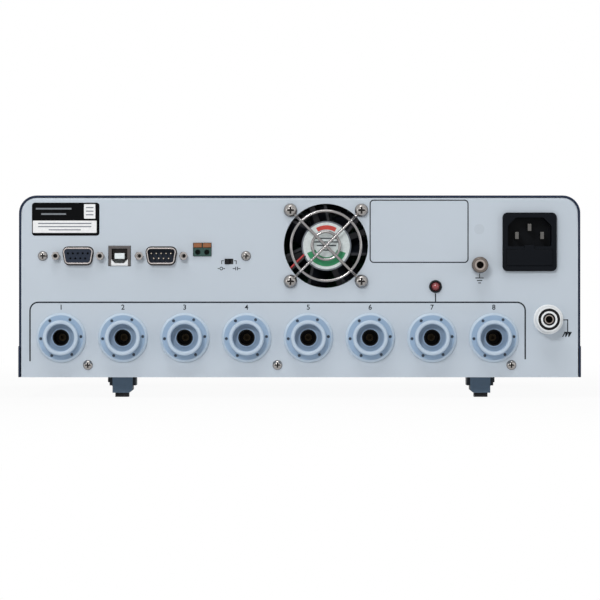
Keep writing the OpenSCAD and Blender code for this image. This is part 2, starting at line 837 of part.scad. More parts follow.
// High voltage sockets
module hv_socket(i) color("#a9c0d8") on_rear(hv_x(i), hv_z) difference() {
    rotate_extrude() polygon([
        [hv_contact_d / 2 + fixed_gap, -hv_barrel_len],
        [hv_barrel_d / 2, -hv_barrel_len],
        [hv_barrel_d / 2, 0],
        [hv_flange_d / 2, 0],
        [hv_flange_d / 2, hv_edge],
        [hv_flange_face_d / 2, hv_flange_t],
        [hv_collar_d / 2, hv_flange_t],
        [hv_collar_d / 2, hv_collar_out - hv_rim],
        [hv_collar_d / 2 - hv_rim, hv_collar_out],
        [hv_recess_d / 2 + hv_rim, hv_collar_out],
        [hv_recess_d / 2, hv_collar_out - hv_rim],
        [hv_recess_d / 2, hv_recess_floor],
        [hv_lip_d / 2, hv_recess_floor],
        [hv_lip_d / 2, hv_recess_floor + hv_lip_h],
        [hv_liner_d / 2 + fixed_gap, hv_recess_floor + hv_lip_h],
        [hv_liner_d / 2 + fixed_gap, -hv_bore_depth - hv_liner_floor],
        [hv_contact_d / 2 + fixed_gap, -hv_bore_depth - hv_liner_floor]]);
    for (k = [0:hv_spanner_count - 1])
        rotate(hv_spanner_turn + k * 360 / hv_spanner_count)
            translate([hv_spanner_pcd / 2, 0, hv_flange_t - hv_spanner_depth])
                cylinder(d = hv_spanner_d, h = hv_spanner_depth + cut, $fn = 24);
}

module hv_socket_nuts() color("#8f9aa3") for (i = [1:socket_count])
    on_rear(hv_x(i), hv_z) translate([0, 0, -panel_t - hv_nut_t]) difference() {
        cylinder(d = hv_barrel_d + 2 * hv_nut_wall, h = hv_nut_t);
        translate([0, 0, -cut]) cylinder(d = hv_barrel_d + 2 * fixed_gap, h = hv_nut_t + 2 * cut);
    }

module hv_socket_inserts() color("#141518") for (i = [1:socket_count])
    on_rear(hv_x(i), hv_z) difference() {
        mouth = hv_recess_floor + hv_lip_h - hv_liner_sink;
        translate([0, 0, -hv_bore_depth - hv_liner_floor])
            cylinder(d = hv_liner_d, h = hv_bore_depth + hv_liner_floor + mouth);
        translate([0, 0, -hv_bore_depth]) cylinder(d = hv_bore_d, h = hv_bore_depth + mouth + cut);
        translate([0, 0, -hv_bore_depth - hv_liner_floor - cut])
            cylinder(d = hv_contact_d + 2 * fixed_gap, h = hv_liner_floor + 2 * cut);
    }

module hv_contacts() color("#c9a65a") for (i = [1:socket_count])
    on_rear(hv_x(i), hv_z) difference() {
        back = relay_face_y - rear_y;
        translate([0, 0, -back]) cylinder(d = hv_contact_d, h = back - hv_bore_depth);
        translate([0, 0, -hv_bore_depth - hv_contact_bore_depth])
            cylinder(d = hv_contact_bore_d, h = hv_contact_bore_depth + cut);
    }

// Cooling fan
module at_fan_screws() for (x = [-1, 1], y = [-1, 1])
    translate([x * fan_hole_pitch / 2, y * fan_hole_pitch / 2, 0]) children();

module fan_frame() color("#15171b") on_rear(fan_x, fan_z) {
    back = -panel_t - fan_depth;
    difference() {
        translate([0, 0, back]) linear_extrude(fan_depth) rounded_rect(fan_size, fan_size, fan_corner_r);
        translate([0, 0, back - cut]) cylinder(d = fan_duct_d, h = fan_depth + 2 * cut);
        at_fan_screws() translate([0, 0, back - cut])
            cylinder(d = fan_screw_d + 2 * fixed_gap, h = fan_depth + 2 * cut);
    }
    translate([0, 0, -panel_t - fan_strut_t]) {
        cylinder(d = fan_motor_d, h = fan_strut_t);
        for (k = [0:fan_strut_count - 1])
            rotate(fan_strut_turn + k * 360 / fan_strut_count) translate([0, -fan_strut_w / 2, 0])
                cube([fan_duct_d / 2 + fan_wall / 2, fan_strut_w, fan_strut_t]);
    }
    bush_len = fan_depth * 0.6;
    translate([0, 0, -panel_t - fan_strut_t - bush_len]) difference() {
        cylinder(d = fan_bush_d, h = bush_len + eps);
        translate([0, 0, -cut]) cylinder(d = fan_shaft_d + 2 * running_gap, h = bush_len - 1 + cut);
    }
}

module fan_rotor() color("#1d2026") on_rear(fan_x, fan_z) {
    front = -panel_t - fan_strut_t - fan_rotor_gap;
    back = -panel_t - fan_depth + fan_rotor_gap;
    height = front - back;
    translate([0, 0, back]) {
        difference() {
            cylinder(d = fan_cup_d, h = height);
            translate([0, 0, fan_cup_wall]) cylinder(d = fan_cup_d - 2 * fan_cup_wall, h = height);
        }
        cylinder(d = fan_shaft_d, h = height * 0.8);
        difference() {
            intersection() {
                cylinder(d = fan_duct_d - 2 * fan_tip_gap, h = height);
                for (k = [0:fan_blades - 1])
                    rotate(k * 360 / fan_blades) translate([fan_duct_d / 4, 0, height / 2])
                        rotate([fan_blade_pitch, 0, 0])
                            cube([fan_duct_d / 2, fan_blade_t, 2 * height], center = true);
            }
            translate([0, 0, -cut]) cylinder(d = fan_cup_d - fan_cup_wall, h = height + 2 * cut);
        }
    }
}

// Wire from one point to the next, each given as a distance from the fan's axis and a height
module guard_rod(from, to, d) translate([from[0], 0, from[1]]) {
    run = to - from;
    rotate([0, 90 - atan2(run[1], run[0]), 0]) cylinder(d = d, h = norm(run), $fn = 24);
}

// Over the fan, down beside the screw's head, then flat under it to the eye
module guard_spoke() {
    screw_x = fan_hole_pitch / 2 * sqrt(2);
    foot_x = screw_x - fan_screw_head_d / 2 - guard_wire;
    high_z = guard_lift + guard_rise;
    bend = [foot_x - guard_bend_in, high_z];
    foot = [foot_x, (guard_wire + guard_flat) / 2];
    guard_rod([0, high_z], bend, guard_wire);
    guard_rod(bend, foot, guard_wire);
    guard_rod(foot, [screw_x - guard_eye_r, guard_wire / 2], guard_wire - 2 * guard_flat);
    for (p = [bend, foot])
        translate([p[0], 0, p[1]]) sphere(d = guard_wire + guard_flat, $fn = 24);
}

module guard_ring(d) rotate_extrude() translate([d / 2, 0]) circle(d = guard_wire, $fn = 24);

module fan_guard() color("#d8d5cf") on_rear(fan_x, fan_z) {
    for (d = [guard_ring_d, guard_ring_small_d])
        translate([0, 0, guard_lift]) guard_ring(d);
    for (a = [45:90:315])
        rotate(a) guard_spoke();
    at_fan_screws() translate([0, 0, guard_wire / 2]) guard_ring(2 * guard_eye_r);
}

module fan_screws() color("#b9b4ac") on_rear(fan_x, fan_z) at_fan_screws()
    translate([0, 0, guard_wire]) pan_screw(fan_screw_head_d, fan_screw_head_h, fan_screw_d,
                                            fan_screw_len + guard_wire);

// Mains inlet and fuse
function socket_outline() = rounded([
    [socket_w / 2, -socket_h / 2], [socket_w / 2, socket_h / 2 - socket_chamfer],
    [socket_w / 2 - socket_chamfer, socket_h / 2], [-socket_w / 2 + socket_chamfer, socket_h / 2],
    [-socket_w / 2, socket_h / 2 - socket_chamfer], [-socket_w / 2, -socket_h / 2]], socket_corner_r);

module drawer_shape(gap) {
    translate([-drawer_w / 2 - gap, -drawer_h / 2 - gap, inlet_t - drawer_face_t - (gap > 0 ? fixed_gap : 0)])
        cube([drawer_w + 2 * gap, drawer_h + 2 * gap, drawer_face_t + (gap > 0 ? cut : 0)]);
    translate([-drawer_tab_w / 2 - gap, 0, inlet_t - drawer_face_t - (gap > 0 ? fixed_gap : 0)])
        cube([drawer_tab_w + 2 * gap, drawer_h / 2 + drawer_tab_h + gap,
              drawer_face_t + (gap > 0 ? cut : 0)]);
    translate([-drawer_body_w / 2 - gap, -drawer_body_h / 2 - gap, inlet_t - drawer_body_depth - gap])
        cube([drawer_body_w + 2 * gap, drawer_body_h + 2 * gap,
              drawer_body_depth - drawer_face_t + gap + eps]);
}

module inlet_body() color("#171b22") on_rear(inlet_x, inlet_z) difference() {
    union() {
        linear_extrude(inlet_t) rounded_rect(inlet_w, inlet_h, inlet_corner_r);
        translate([-inlet_body_w / 2, -inlet_body_h / 2, -inlet_body_depth])
            cube([inlet_body_w, inlet_body_h, inlet_body_depth + eps]);
    }
    translate([0, socket_up, inlet_t - socket_depth]) linear_extrude(socket_depth + cut)
        polygon(socket_outline());
    translate([0, -drawer_drop, 0]) drawer_shape(slide_gap / 2);
    at_blades() translate([-blade_w / 2 - fixed_gap, -blade_h / 2 - fixed_gap, -inlet_body_depth - cut])
        cube([blade_w + 2 * fixed_gap, blade_h + 2 * fixed_gap, inlet_body_depth]);
}

module at_blades() for (p = [[-blade_pitch / 2, -blade_low], [blade_pitch / 2, -blade_low], [0, blade_high]])
    translate([p[0], socket_up + p[1], 0]) children();

module inlet_pins() color("#c9c5bb") on_rear(inlet_x, inlet_z) at_blades()
    translate([-blade_w / 2, -blade_h / 2, -inlet_body_depth - blade_tail])
        cube([blade_w, blade_h, inlet_body_depth + blade_tail + inlet_t - socket_depth + blade_len]);

module fuse_drawer() color("#1c2129") on_rear(inlet_x, inlet_z - drawer_drop) difference() {
    drawer_shape(0);
    room = fuse_d + 2 * fuse_room;
    translate([-fuse_len / 2 - fuse_room, -fuse_d / 2 - fuse_room, -fuse_back - room / 2])
        cube([fuse_len + 2 * fuse_room, drawer_h, room]);
}

module fuse() color("#cfd4d6") on_rear(inlet_x, inlet_z - drawer_drop)
    translate([0, 0, -fuse_back]) rotate([0, 90, 0]) {
        cylinder(d = fuse_glass_d, h = fuse_len - 2, center = true);
        for (s = [-1, 1])
            translate([0, 0, s * (fuse_len - fuse_cap_len) / 2])
                cylinder(d = fuse_d, h = fuse_cap_len, center = true);
    }

// Serial and signal ports
module port_tube(w, h, r, low, high) translate([0, 0, low]) linear_extrude(high - low)
    polygon(rounded(port_outline(w, h), r));

module at_jacks() for (x = [serial_x, signal_x], s = [-1, 1])
    on_rear(x + s * jack_pitch / 2, port_z) children();

module port_bore(gap, low, high)
    port_tube(port_shell_w - 2 * shell_wall + 2 * gap, port_shell_h - 2 * shell_wall + 2 * gap,
              shell_corner_r - shell_wall + gap, low, high);

module port_shells() color("#b8b3ab") for (x = [serial_x, signal_x])
    on_rear(x, port_z) difference() {
        union() {
            port_tube(port_shell_w, port_shell_h, shell_corner_r, -panel_t - shell_flange_t, port_shell_out);
            translate([-shell_flange_w / 2, -shell_flange_h / 2, -panel_t - shell_flange_t])
                cube([shell_flange_w, shell_flange_h, shell_flange_t]);
        }
        port_bore(0, -panel_t - shell_flange_t - cut, port_shell_out + cut);
        for (s = [-1, 1])
            translate([s * jack_pitch / 2, 0, -panel_t - shell_flange_t - cut])
                cylinder(d = jack_shank_d + 2 * fixed_gap, h = shell_flange_t + 2 * cut);
    }

// Five pins in the upper row and four in the lower one
module at_pins() {
    for (k = [-2:2])
        translate([k * pin_pitch, pin_row / 2, 0]) children();
    for (k = [-1.5:1.5])
        translate([k * pin_pitch, -pin_row / 2, 0]) children();
}

module port_insert(face) {
    back = -panel_t - shell_flange_t;
    port_bore(-fixed_gap, back - eps, face);
    translate([-insert_back_w / 2, -insert_back_h / 2, back - insert_back])
        cube([insert_back_w, insert_back_h, insert_back]);
}

module port_inserts() color("#20252d") {
    on_rear(serial_x, port_z) difference() {
        port_insert(port_shell_out - serial_face_sink);
        at_pins() translate([0, 0, port_shell_out - serial_face_sink - pin_hole_depth])
            cylinder(d = pin_hole_d, h = pin_hole_depth + cut, $fn = 24);
    }
    on_rear(signal_x, port_z) difference() {
        port_insert(port_shell_out - signal_floor_sink);
        at_pins() translate([0, 0, -panel_t - shell_flange_t - insert_back - cut])
            cylinder(d = pin_d + 2 * fixed_gap, h = insert_back + 3 * cut + shell_flange_t, $fn = 24);
    }
}

module port_pins() color("#d4ccb4") on_rear(signal_x, port_z) at_pins() {
    back = -panel_t - shell_flange_t - insert_back;
    translate([0, 0, back])
        cylinder(d = pin_d, h = port_shell_out - pin_tip_sink - pin_d / 2 - back, $fn = 24);
    translate([0, 0, port_shell_out - pin_tip_sink - pin_d / 2]) sphere(d = pin_d, $fn = 24);
}

module port_jackscrews() color("#b5b0a8") at_jacks() difference() {
    union() {
        cylinder(d = jack_d, h = jack_out, $fn = 6);
        translate([0, 0, -jack_shank_len]) cylinder(d = jack_shank_d, h = jack_shank_len + eps);
    }
    translate([0, 0, jack_out - jack_bore_depth]) cylinder(d = jack_bore_d, h = jack_bore_depth + cut);
}

// USB port, bevelled at its lower corners
module usb_opening(grow) {
    w = usb_open_w / 2 + grow;
    h = usb_open_h / 2 + grow;
    polygon([[w, h], [-w, h], [-w, -h + usb_bevel], [-w + usb_bevel, -h], [w - usb_bevel, -h],
             [w, -h + usb_bevel]]);
}

module usb_shell() color("#aaa69f") on_rear(usb_x, port_z) difference() {
    translate([-usb_w / 2, -usb_h / 2, usb_out - usb_depth]) cube([usb_w, usb_h, usb_depth]);
    translate([0, 0, usb_out - usb_depth + usb_wall]) linear_extrude(usb_depth) usb_opening(0);
    translate([-tongue_w / 2 - fixed_gap, -tongue_h / 2 - fixed_gap, usb_out - usb_depth - cut])
        cube([tongue_w + 2 * fixed_gap, tongue_h + 2 * fixed_gap, usb_wall + 2 * cut]);
}

module usb_tongue() color("#eceeee") on_rear(usb_x, port_z)
    translate([-tongue_w / 2, -tongue_h / 2, usb_out - usb_depth])
        cube([tongue_w, tongue_h, usb_depth - tongue_sink]);

// Interlock terminal with two wire clamps
module lever_slot(s, gap)
    translate([s * (lever_w + slide_gap + lever_web) / 2 - lever_w / 2 - gap,
               interlock_h / 2 - lever_h - gap, 0]) children();

module interlock_header() color("#1f7a55") on_rear(interlock_x, interlock_z) difference() {
    bottom = io_board_z + board_t - interlock_z;
    back = -panel_t - hole_gap;
    union() {
        translate([-interlock_w / 2, -interlock_h / 2, back - eps])
            cube([interlock_w, interlock_h, interlock_out - back + eps]);
        translate([-interlock_w / 2, bottom, back - interlock_back])
            cube([interlock_w, interlock_h / 2 - bottom, interlock_back]);
    }
    for (s = [-1, 1]) {
        translate([s * wire_hole_pitch / 2, -wire_hole_drop, interlock_out - wire_hole_depth])
            cylinder(d = wire_hole_d, h = wire_hole_depth + cut, $fn = 32);
        lever_slot(s, slide_gap / 2)
            translate([0, 0, interlock_out + lever_out - lever_len - lever_travel - slide_gap])
                cube([lever_w + slide_gap, lever_h + cut, lever_len + 2 * cut]);
    }
}

module interlock_lever(s) color("#d9722b") on_rear(interlock_x, interlock_z)
    lever_slot(s, 0) translate([0, 0, interlock_out + lever_out - lever_len])
        cube([lever_w, lever_h, lever_len]);

// Board behind the ports, with the selector switch's housing and the two tabs that hold it
module io_board() color("#2f6b45") {
    rear = panel_in_y + io_board_gap;
    low = io_screw_x[0] - io_tab_w / 2;
    high = io_screw_x[1] + io_tab_w / 2;
    box([low, high], [rear, rear + io_board_len], [io_board_z, io_board_z + board_t]);
    for (x = io_screw_x)
        difference() {
            box([x - io_tab_w / 2, x + io_tab_w / 2], [panel_in_y, panel_in_y + io_tab_t],
                [io_board_z, port_z + io_tab_w / 2]);
            on_rear(x, port_z) translate([0, 0, -panel_t - io_tab_t - cut])
                cylinder(d = screw_d + 2 * fixed_gap, h = io_tab_t + 2 * cut);
        }
    box([selector_x - selector_box_w / 2, selector_x + selector_box_w / 2],
        [panel_in_y + selector_foot_t + 2 * fixed_gap, panel_in_y + selector_box_depth],
        [io_board_z, selector_z + selector_foot_h / 2 + 1]);
}

module selector_slider() color("#0f1114") on_rear(selector_x - selector_travel / 2, selector_z) {
    translate([-selector_foot_w / 2, -selector_foot_h / 2, -panel_t - fixed_gap - selector_foot_t])
        cube([selector_foot_w, selector_foot_h, selector_foot_t]);
    translate([-selector_nub_w / 2, -selector_nub_h / 2, -panel_t - fixed_gap - eps])
        cube([selector_nub_w, selector_nub_h, panel_t + fixed_gap + eps + selector_nub_out]);
}

// Lamp and terminals
module indicator_bezel() color("#101216") on_rear(indicator_x, indicator_z) difference() {
    union() {
        cylinder(d1 = indicator_d, d2 = indicator_d - 1, h = indicator_out);
        translate([0, 0, -indicator_depth]) cylinder(d = indicator_barrel_d, h = indicator_depth + eps);
    }
    translate([0, 0, -indicator_depth - cut])
        cylinder(d = indicator_lens_d + 2 * fixed_gap, h = indicator_depth + indicator_out + 2 * cut);
}

module indicator_lens() color("#a8242c") on_rear(indicator_x, indicator_z) {
    translate([0, 0, -indicator_depth])
        cylinder(d = indicator_lens_d, h = indicator_depth + indicator_out * 0.4);
    translate([0, 0, indicator_out * 0.4]) intersection() {
        sphere(d = indicator_lens_d);
        translate([0, 0, -cut]) cylinder(d = indicator_lens_d, h = indicator_lens_d);
    }
}

module ground_post() color("#b3ada4") on_rear(ground_x, ground_z) difference() {
    union() {
        rotate_extrude() polygon([
            [0, 0], [ground_d / 2, 0], [ground_d / 2, ground_out - ground_chamfer],
            [ground_d / 2 - ground_chamfer, ground_out], [0, ground_out]]);
        translate([0, 0, -ground_stud_len]) cylinder(d = ground_stud_d, h = ground_stud_len + eps);
        translate([0, 0, -panel_t - ground_nut_t]) cylinder(d = ground_nut_d, h = ground_nut_t, $fn = 6);
    }
    translate([0, 0, ground_out - plug_depth]) cylinder(d = plug_bore_d, h = plug_depth + cut);
}

module return_nut() color("#eef1f2") on_rear(return_x, return_z) {
    rotate_extrude() polygon([
        [return_sleeve_d / 2, -return_barrel_len], [return_barrel_d / 2, -return_barrel_len],
        [return_barrel_d / 2, 0], [return_d / 2, 0], [return_d / 2, return_base_t - 1],
        [return_d / 2 - 1, return_base_t], [return_body_d / 2, return_base_t],
        [return_body_d / 2, return_out - 1], [return_body_d / 2 - 0.6, return_out],
        [return_ring_d / 2, return_out], [return_ring_d / 2, return_out - return_ring_depth],
        [return_core_d / 2, return_out - return_ring_depth], [return_core_d / 2, return_out],
        [return_sleeve_d / 2, return_out]]);
}

module tube(outer_d, inner_d, low, high) translate([0, 0, low]) difference() {
    cylinder(d = outer_d, h = high - low);
    translate([0, 0, -cut]) cylinder(d = inner_d, h = high - low + 2 * cut);
}

module return_insulator() color("#101216") on_rear(return_x, return_z) {
    tube(return_ring_d - 2 * fixed_gap, return_core_d + 2 * fixed_gap, return_out - return_ring_depth,
         return_out - 0.3);
    tube(return_sleeve_d - 2 * fixed_gap, return_jack_d + 2 * fixed_gap, -return_barrel_len,
         return_out - 0.4);
    translate([0, 0, -panel_t - return_nut_t])
        tube(return_nut_d, return_barrel_d + 2 * fixed_gap, 0, return_nut_t);
}

module return_jack() color("#a59f98") on_rear(return_x, return_z) difference() {
    tail = return_barrel_len + 6;
    translate([0, 0, -tail]) cylinder(d = return_jack_d, h = tail + return_out - 0.8);
    translate([0, 0, return_out - 0.8 - plug_depth]) cylinder(d = plug_bore_d, h = plug_depth + cut);
}

// Front of the case
module front_bezel() color("#cdd4d9") {
    seat_w = opening_w + 2 * panel_seat;
    seat_h = opening_h + 2 * panel_seat;
    difference() {
        translate([0, front_y, bezel_mid_z]) rotate([90, 0, 0]) linear_extrude(bezel_depth)
            rounded_rect(bezel_w, bezel_h, bezel_r);
        translate([0, front_y + cut, bezel_mid_z]) rotate([90, 0, 0]) linear_extrude(bezel_depth + 2 * cut)
            rounded_rect(opening_w, opening_h, opening_r);
        translate([0, front_face_y, bezel_mid_z]) rotate([90, 0, 0]) linear_extrude(bezel_depth)
            rounded_rect(seat_w, seat_h, opening_r);
    }
}

module key_hole(u, z, w, h)
    on_front(u, z) translate([-w / 2 - slide_gap, -h / 2 - slide_gap, -front_t - cut])
        cube([w + 2 * slide_gap, h + 2 * slide_gap, front_t + 2 * cut]);

module round_hole(u, z, d)
    on_front(u, z) translate([0, 0, -front_t - cut]) cylinder(d = d, h = front_t + 2 * cut);

function softkey_z(i) = display_z + ((softkey_count + 1) / 2 - i) * softkey_pitch;

module front_panel() color("#dfe4e7") difference() {
    on_front(0, bezel_mid_z) translate([0, 0, -front_t]) linear_extrude(front_t)
        rounded_rect(opening_w + 2 * (panel_seat - hole_gap), opening_h + 2 * (panel_seat - hole_gap),
                     opening_r);
    on_front(display_u, display_z) translate([0, 0, -front_t - cut]) linear_extrude(front_t + 2 * cut)
        rounded_rect(display_w + 2 * hole_gap, display_h + 2 * hole_gap, display_corner_r);
    for (i = [1:softkey_count])
        key_hole(softkey_u, softkey_z(i), softkey_w, softkey_h);
    key_hole(power_u, power_z, power_side, power_side);
    for (u = [start_u, stop_u])
        round_hole(u, action_z, action_d + 2 * slide_gap);
    round_hole(knob_u, knob_z, knob_shaft_d + 2 * running_gap);
}

module display_window() color("#20303a", 0.8) on_front(display_u, display_z)
    translate([0, 0, -front_t]) linear_extrude(front_t)
        rounded_rect(display_w, display_h, display_corner_r);

module front_switch(u, z, travel, side) on_front(u, z)
    translate([-side / 2, -side / 2, -front_t - front_board_gap - eps])
        cube([side, side, front_board_gap - key_flange_t - travel - slide_gap + eps]);

// Display, key switches and encoder on one board, held off the front panel by four posts
module display_module() color("#33413a") {
    board_w = opening_w - 2 * front_board_margin;
    board_h = opening_h - 2 * front_board_margin;
    on_front(0, bezel_mid_z) {
        translate([-board_w / 2, -board_h / 2, -front_t - front_board_gap - board_t])
            cube([board_w, board_h, board_t]);
        x = board_w / 2 - 1.6 * front_post_d;
        y = board_h / 2 - front_post_d;
        for (p = [[x, y], [-x, y], [x, -y], [-x + 2 * power_side, -y]])
            translate([p[0], p[1], -front_t - front_board_gap - eps])
                cylinder(d = front_post_d, h = front_board_gap + eps);
    }
    on_front(display_u, display_z) {
        w = display_w - 2 * lcd_margin;
        h = display_h - 2 * lcd_margin;
        translate([-w / 2, -h / 2, -front_t - front_board_gap - eps]) cube([w, h, front_board_gap + eps]);
    }
    for (i = [1:softkey_count])
        front_switch(softkey_u, softkey_z(i), softkey_travel, switch_side);
    front_switch(power_u, power_z, power_travel, switch_side);
    for (u = [start_u, stop_u])
        front_switch(u, action_z, action_travel, switch_side);
    on_front(knob_u, knob_z) difference() {
        translate([-encoder_side / 2, -encoder_side / 2, -front_t - front_board_gap - eps])
            cube([encoder_side, encoder_side, front_board_gap - slide_gap + eps]);
        translate([0, 0, -front_t - shaft_len])
            cylinder(d = knob_shaft_d + 2 * running_gap, h = shaft_len + cut);
    }
}

// A cap through the panel, with a flange behind it that stops it falling out
module key_cap(u, z, w, h, r, out) on_front(u, z) {
    translate([0, 0, -front_t - eps]) linear_extrude(front_t + out + eps) rounded_rect(w, h, r);
    translate([-w / 2 - key_flange, -h / 2 - key_flange, -front_t - key_flange_t])
        cube([w + 2 * key_flange, h + 2 * key_flange, key_flange_t]);
}

module action_button(u) on_front(u, action_z) {
    translate([0, 0, -front_t - eps]) cylinder(d = action_d, h = front_t + action_out - 0.8 + eps);
    translate([0, 0, action_out - 0.8]) cylinder(d1 = action_d, d2 = action_d - 1.6, h = 0.8);
    translate([0, 0, -front_t - key_flange_t]) cylinder(d = action_d + 2 * key_flange, h = key_flange_t);
}

module softkey(i) color("#8d99a3")
    key_cap(softkey_u, softkey_z(i), softkey_w, softkey_h, key_corner_r, softkey_out);

module power_button() color("#39434d")
    key_cap(power_u, power_z, power_side, power_side, key_corner_r, power_out);

module start_button() color("#2e9e4f") action_button(start_u);
module stop_button() color("#c0322e") action_button(stop_u);

module adjust_knob() color("#48525c") on_front(knob_u, knob_z) {
    height = bezel_rim_t + knob_out;
    difference() {
        rotate_extrude() polygon([
            [0, knob_gap], [knob_d / 2, knob_gap], [knob_d / 2, height - knob_edge],
            [knob_d / 2 - knob_edge, height], [0, height]]);
        for (k = [0:knob_flutes - 1])
            rotate(k * 360 / knob_flutes) translate([knob_d / 2 + knob_flute_d * 0.2, 0, knob_gap + 3])
                cylinder(d = knob_flute_d, h = height, $fn = 24);
    }
    translate([0, 0, -front_t - shaft_len + slide_gap])
        cylinder(d = knob_shaft_d, h = front_t + shaft_len + knob_gap);
}

// Electronics inside
module main_board() color("#2b6a44") {
    x = main_board_x;
    y = [main_board_y, main_board_y + main_board_len];
    top = board_z + board_t;
    box(x, y, [board_z, top]);
    sink_x = 6;
    sink_y = 30;
    sink_w = 46;
    sink_len = 90;
    sink_h = 36;
    sink_base_t = 6;
    fin_count = 6;
    fin_t = 3;
    translate([x[0] + sink_x, y[0] + sink_y, top - eps]) {
        cube([sink_w, sink_len, sink_base_t + eps]);
        for (k = [0:fin_count - 1])
            translate([k * (sink_w - fin_t) / (fin_count - 1), 0, 0]) cube([fin_t, sink_len, sink_h]);
    }
    capacitor_d = 22;
    capacitor_h = 32;
    capacitor_y = 40;
    capacitor_pitch = 30;
    for (k = [0:3])
        translate([x[1] - capacitor_d, y[0] + capacitor_y + k * capacitor_pitch, top - eps])
            cylinder(d = capacitor_d, h = capacitor_h);
    chip_side = 18;
    chip_t = 3;
    chip_x = 64;
    chip_pitch = 36;
    for (k = [0:4])
        translate([x[0] + chip_x, y[0] + sink_y + k * chip_pitch, top - eps])
            cube([chip_side, chip_side, chip_t]);
}

module hv_transformer() color("#6b6f74") translate([transformer_x, transformer_y, tray_top_z]) {
    w = transformer_w - 2 * transformer_foot;
    translate([-transformer_w / 2, 0, 0]) cube([transformer_w, transformer_len, transformer_foot_t]);
    translate([-w / 2, 0, transformer_foot_t - eps]) cube([w, transformer_len, transformer_h]);
    translate([-w / 4, -transformer_coil_out, transformer_h * 0.2])
        cube([w / 2, transformer_len + 2 * transformer_coil_out, transformer_h * 0.66]);
}

module relay_board() color("#2f6b45") {
    low = hv_x(1) - relay_w / 2;
    high = hv_x(socket_count) + relay_w / 2;
    box([low, high], [relay_face_y, relay_face_y + relay_board_len], [board_z, board_z + board_t]);
    for (i = [1:socket_count])
        box([hv_x(i) - relay_w / 2, hv_x(i) + relay_w / 2], [relay_face_y, relay_face_y + relay_len],
            [board_z + board_t - eps, board_z + board_t + relay_h]);
}

chassis_tray();
rear_panel();
top_cover();
front_bezel();
front_panel();
display_window();
display_module();
panel_screws();
rear_feet();
front_feet();
foot_pads();
tilt_leg(-1);  // tilt_leg_left
tilt_leg(1);  // tilt_leg_right
for (i = [1:socket_count])
    hv_socket(i);
hv_socket_nuts();
hv_socket_inserts();
hv_contacts();
inlet_body();
inlet_pins();
fuse_drawer();
fuse();
fan_frame();
fan_rotor();
fan_guard();
fan_screws();
port_shells();
port_inserts();
port_pins();
port_jackscrews();
usb_shell();
usb_tongue();
interlock_header();
interlock_lever(-1);  // interlock_lever_left
interlock_lever(1);  // interlock_lever_right
io_board();
selector_slider();
indicator_bezel();
indicator_lens();
ground_post();
return_nut();
return_insulator();
return_jack();
power_button();
start_button();
stop_button();
adjust_knob();
for (i = [1:softkey_count])
    softkey(i);
main_board();
hv_transformer();
relay_board();
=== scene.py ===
"""Finishes, printed legends, front display and studio for a bench hipot tester."""

import math

import bpy
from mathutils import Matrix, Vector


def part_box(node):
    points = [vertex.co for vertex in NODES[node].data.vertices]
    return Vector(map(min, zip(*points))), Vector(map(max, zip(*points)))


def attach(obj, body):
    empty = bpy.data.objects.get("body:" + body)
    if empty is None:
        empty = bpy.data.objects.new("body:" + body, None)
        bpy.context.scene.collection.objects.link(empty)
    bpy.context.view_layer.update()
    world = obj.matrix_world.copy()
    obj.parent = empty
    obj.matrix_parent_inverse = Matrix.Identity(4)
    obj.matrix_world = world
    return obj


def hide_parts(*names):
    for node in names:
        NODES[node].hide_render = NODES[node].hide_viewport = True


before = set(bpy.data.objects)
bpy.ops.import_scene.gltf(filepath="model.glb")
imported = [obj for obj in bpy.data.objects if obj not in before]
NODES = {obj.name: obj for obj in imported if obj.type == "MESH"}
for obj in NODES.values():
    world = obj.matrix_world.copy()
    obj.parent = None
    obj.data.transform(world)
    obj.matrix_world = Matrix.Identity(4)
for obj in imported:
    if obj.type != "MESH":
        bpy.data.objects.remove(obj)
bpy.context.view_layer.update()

bl_info = {
    "name": "Hipot tester",
    "version": (1, 0, 0),
    "blender": (4, 5, 0),
    "location": "View3D > Sidebar > Hipot tester",
    "description": "Dresses the tester with finishes, printed legends, a front display and a studio",
    "category": "Object",
}

MM = 0.001
REAR_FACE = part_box("rear_panel")[0].y
FRONT_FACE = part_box("front_panel")[1].y
CHANNELS = range(1, 9)
SOFT_KEYS = range(1, 5)
SIDES = (-1, 1)

SCREW_ZINC = (0.36, 0.345, 0.335)
BOARD_MASK = (0.02, 0.12, 0.05)
BOARD_THICKNESS = 2 * MM
# How dark the painted shade on the feet is, as a share of the feet's colour.
FOOT_ROOT_PAINTED_SHADE = 0.12
MERGE_WITHIN = 0.002 * MM
SHARP_ANGLE = math.radians(40)
FONT_SIZE_PER_HEIGHT = 1.42
SENSOR_WIDTH = 36


def linear(red, green, blue):
    """A colour as it shows on a screen, 0 to 255, in Blender's linear values."""

    def one(value):
        part = value / 255
        return part / 12.92 if part <= 0.04045 else ((part + 0.055) / 1.055) ** 2.4

    return (one(red), one(green), one(blue))


def shade(colour, amount):
    return tuple(min(1.0, part * amount) for part in colour)


def middle(node):
    low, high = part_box(node)
    return (low + high) / 2


# Properties a user would change


def paint(name, description, red, green, blue):
    return bpy.props.FloatVectorProperty(
        name=name,
        description=description,
        subtype="COLOR",
        size=3,
        min=0,
        max=1,
        default=linear(red, green, blue),
    )


def length(name, description, millimetres):
    return bpy.props.FloatProperty(
        name=name,
        description=description,
        subtype="DISTANCE",
        unit="LENGTH",
        min=0,
        default=millimetres * MM,
    )


def power(name, description, watts):
    return bpy.props.FloatProperty(name=name, description=description, unit="POWER", min=0, default=watts)


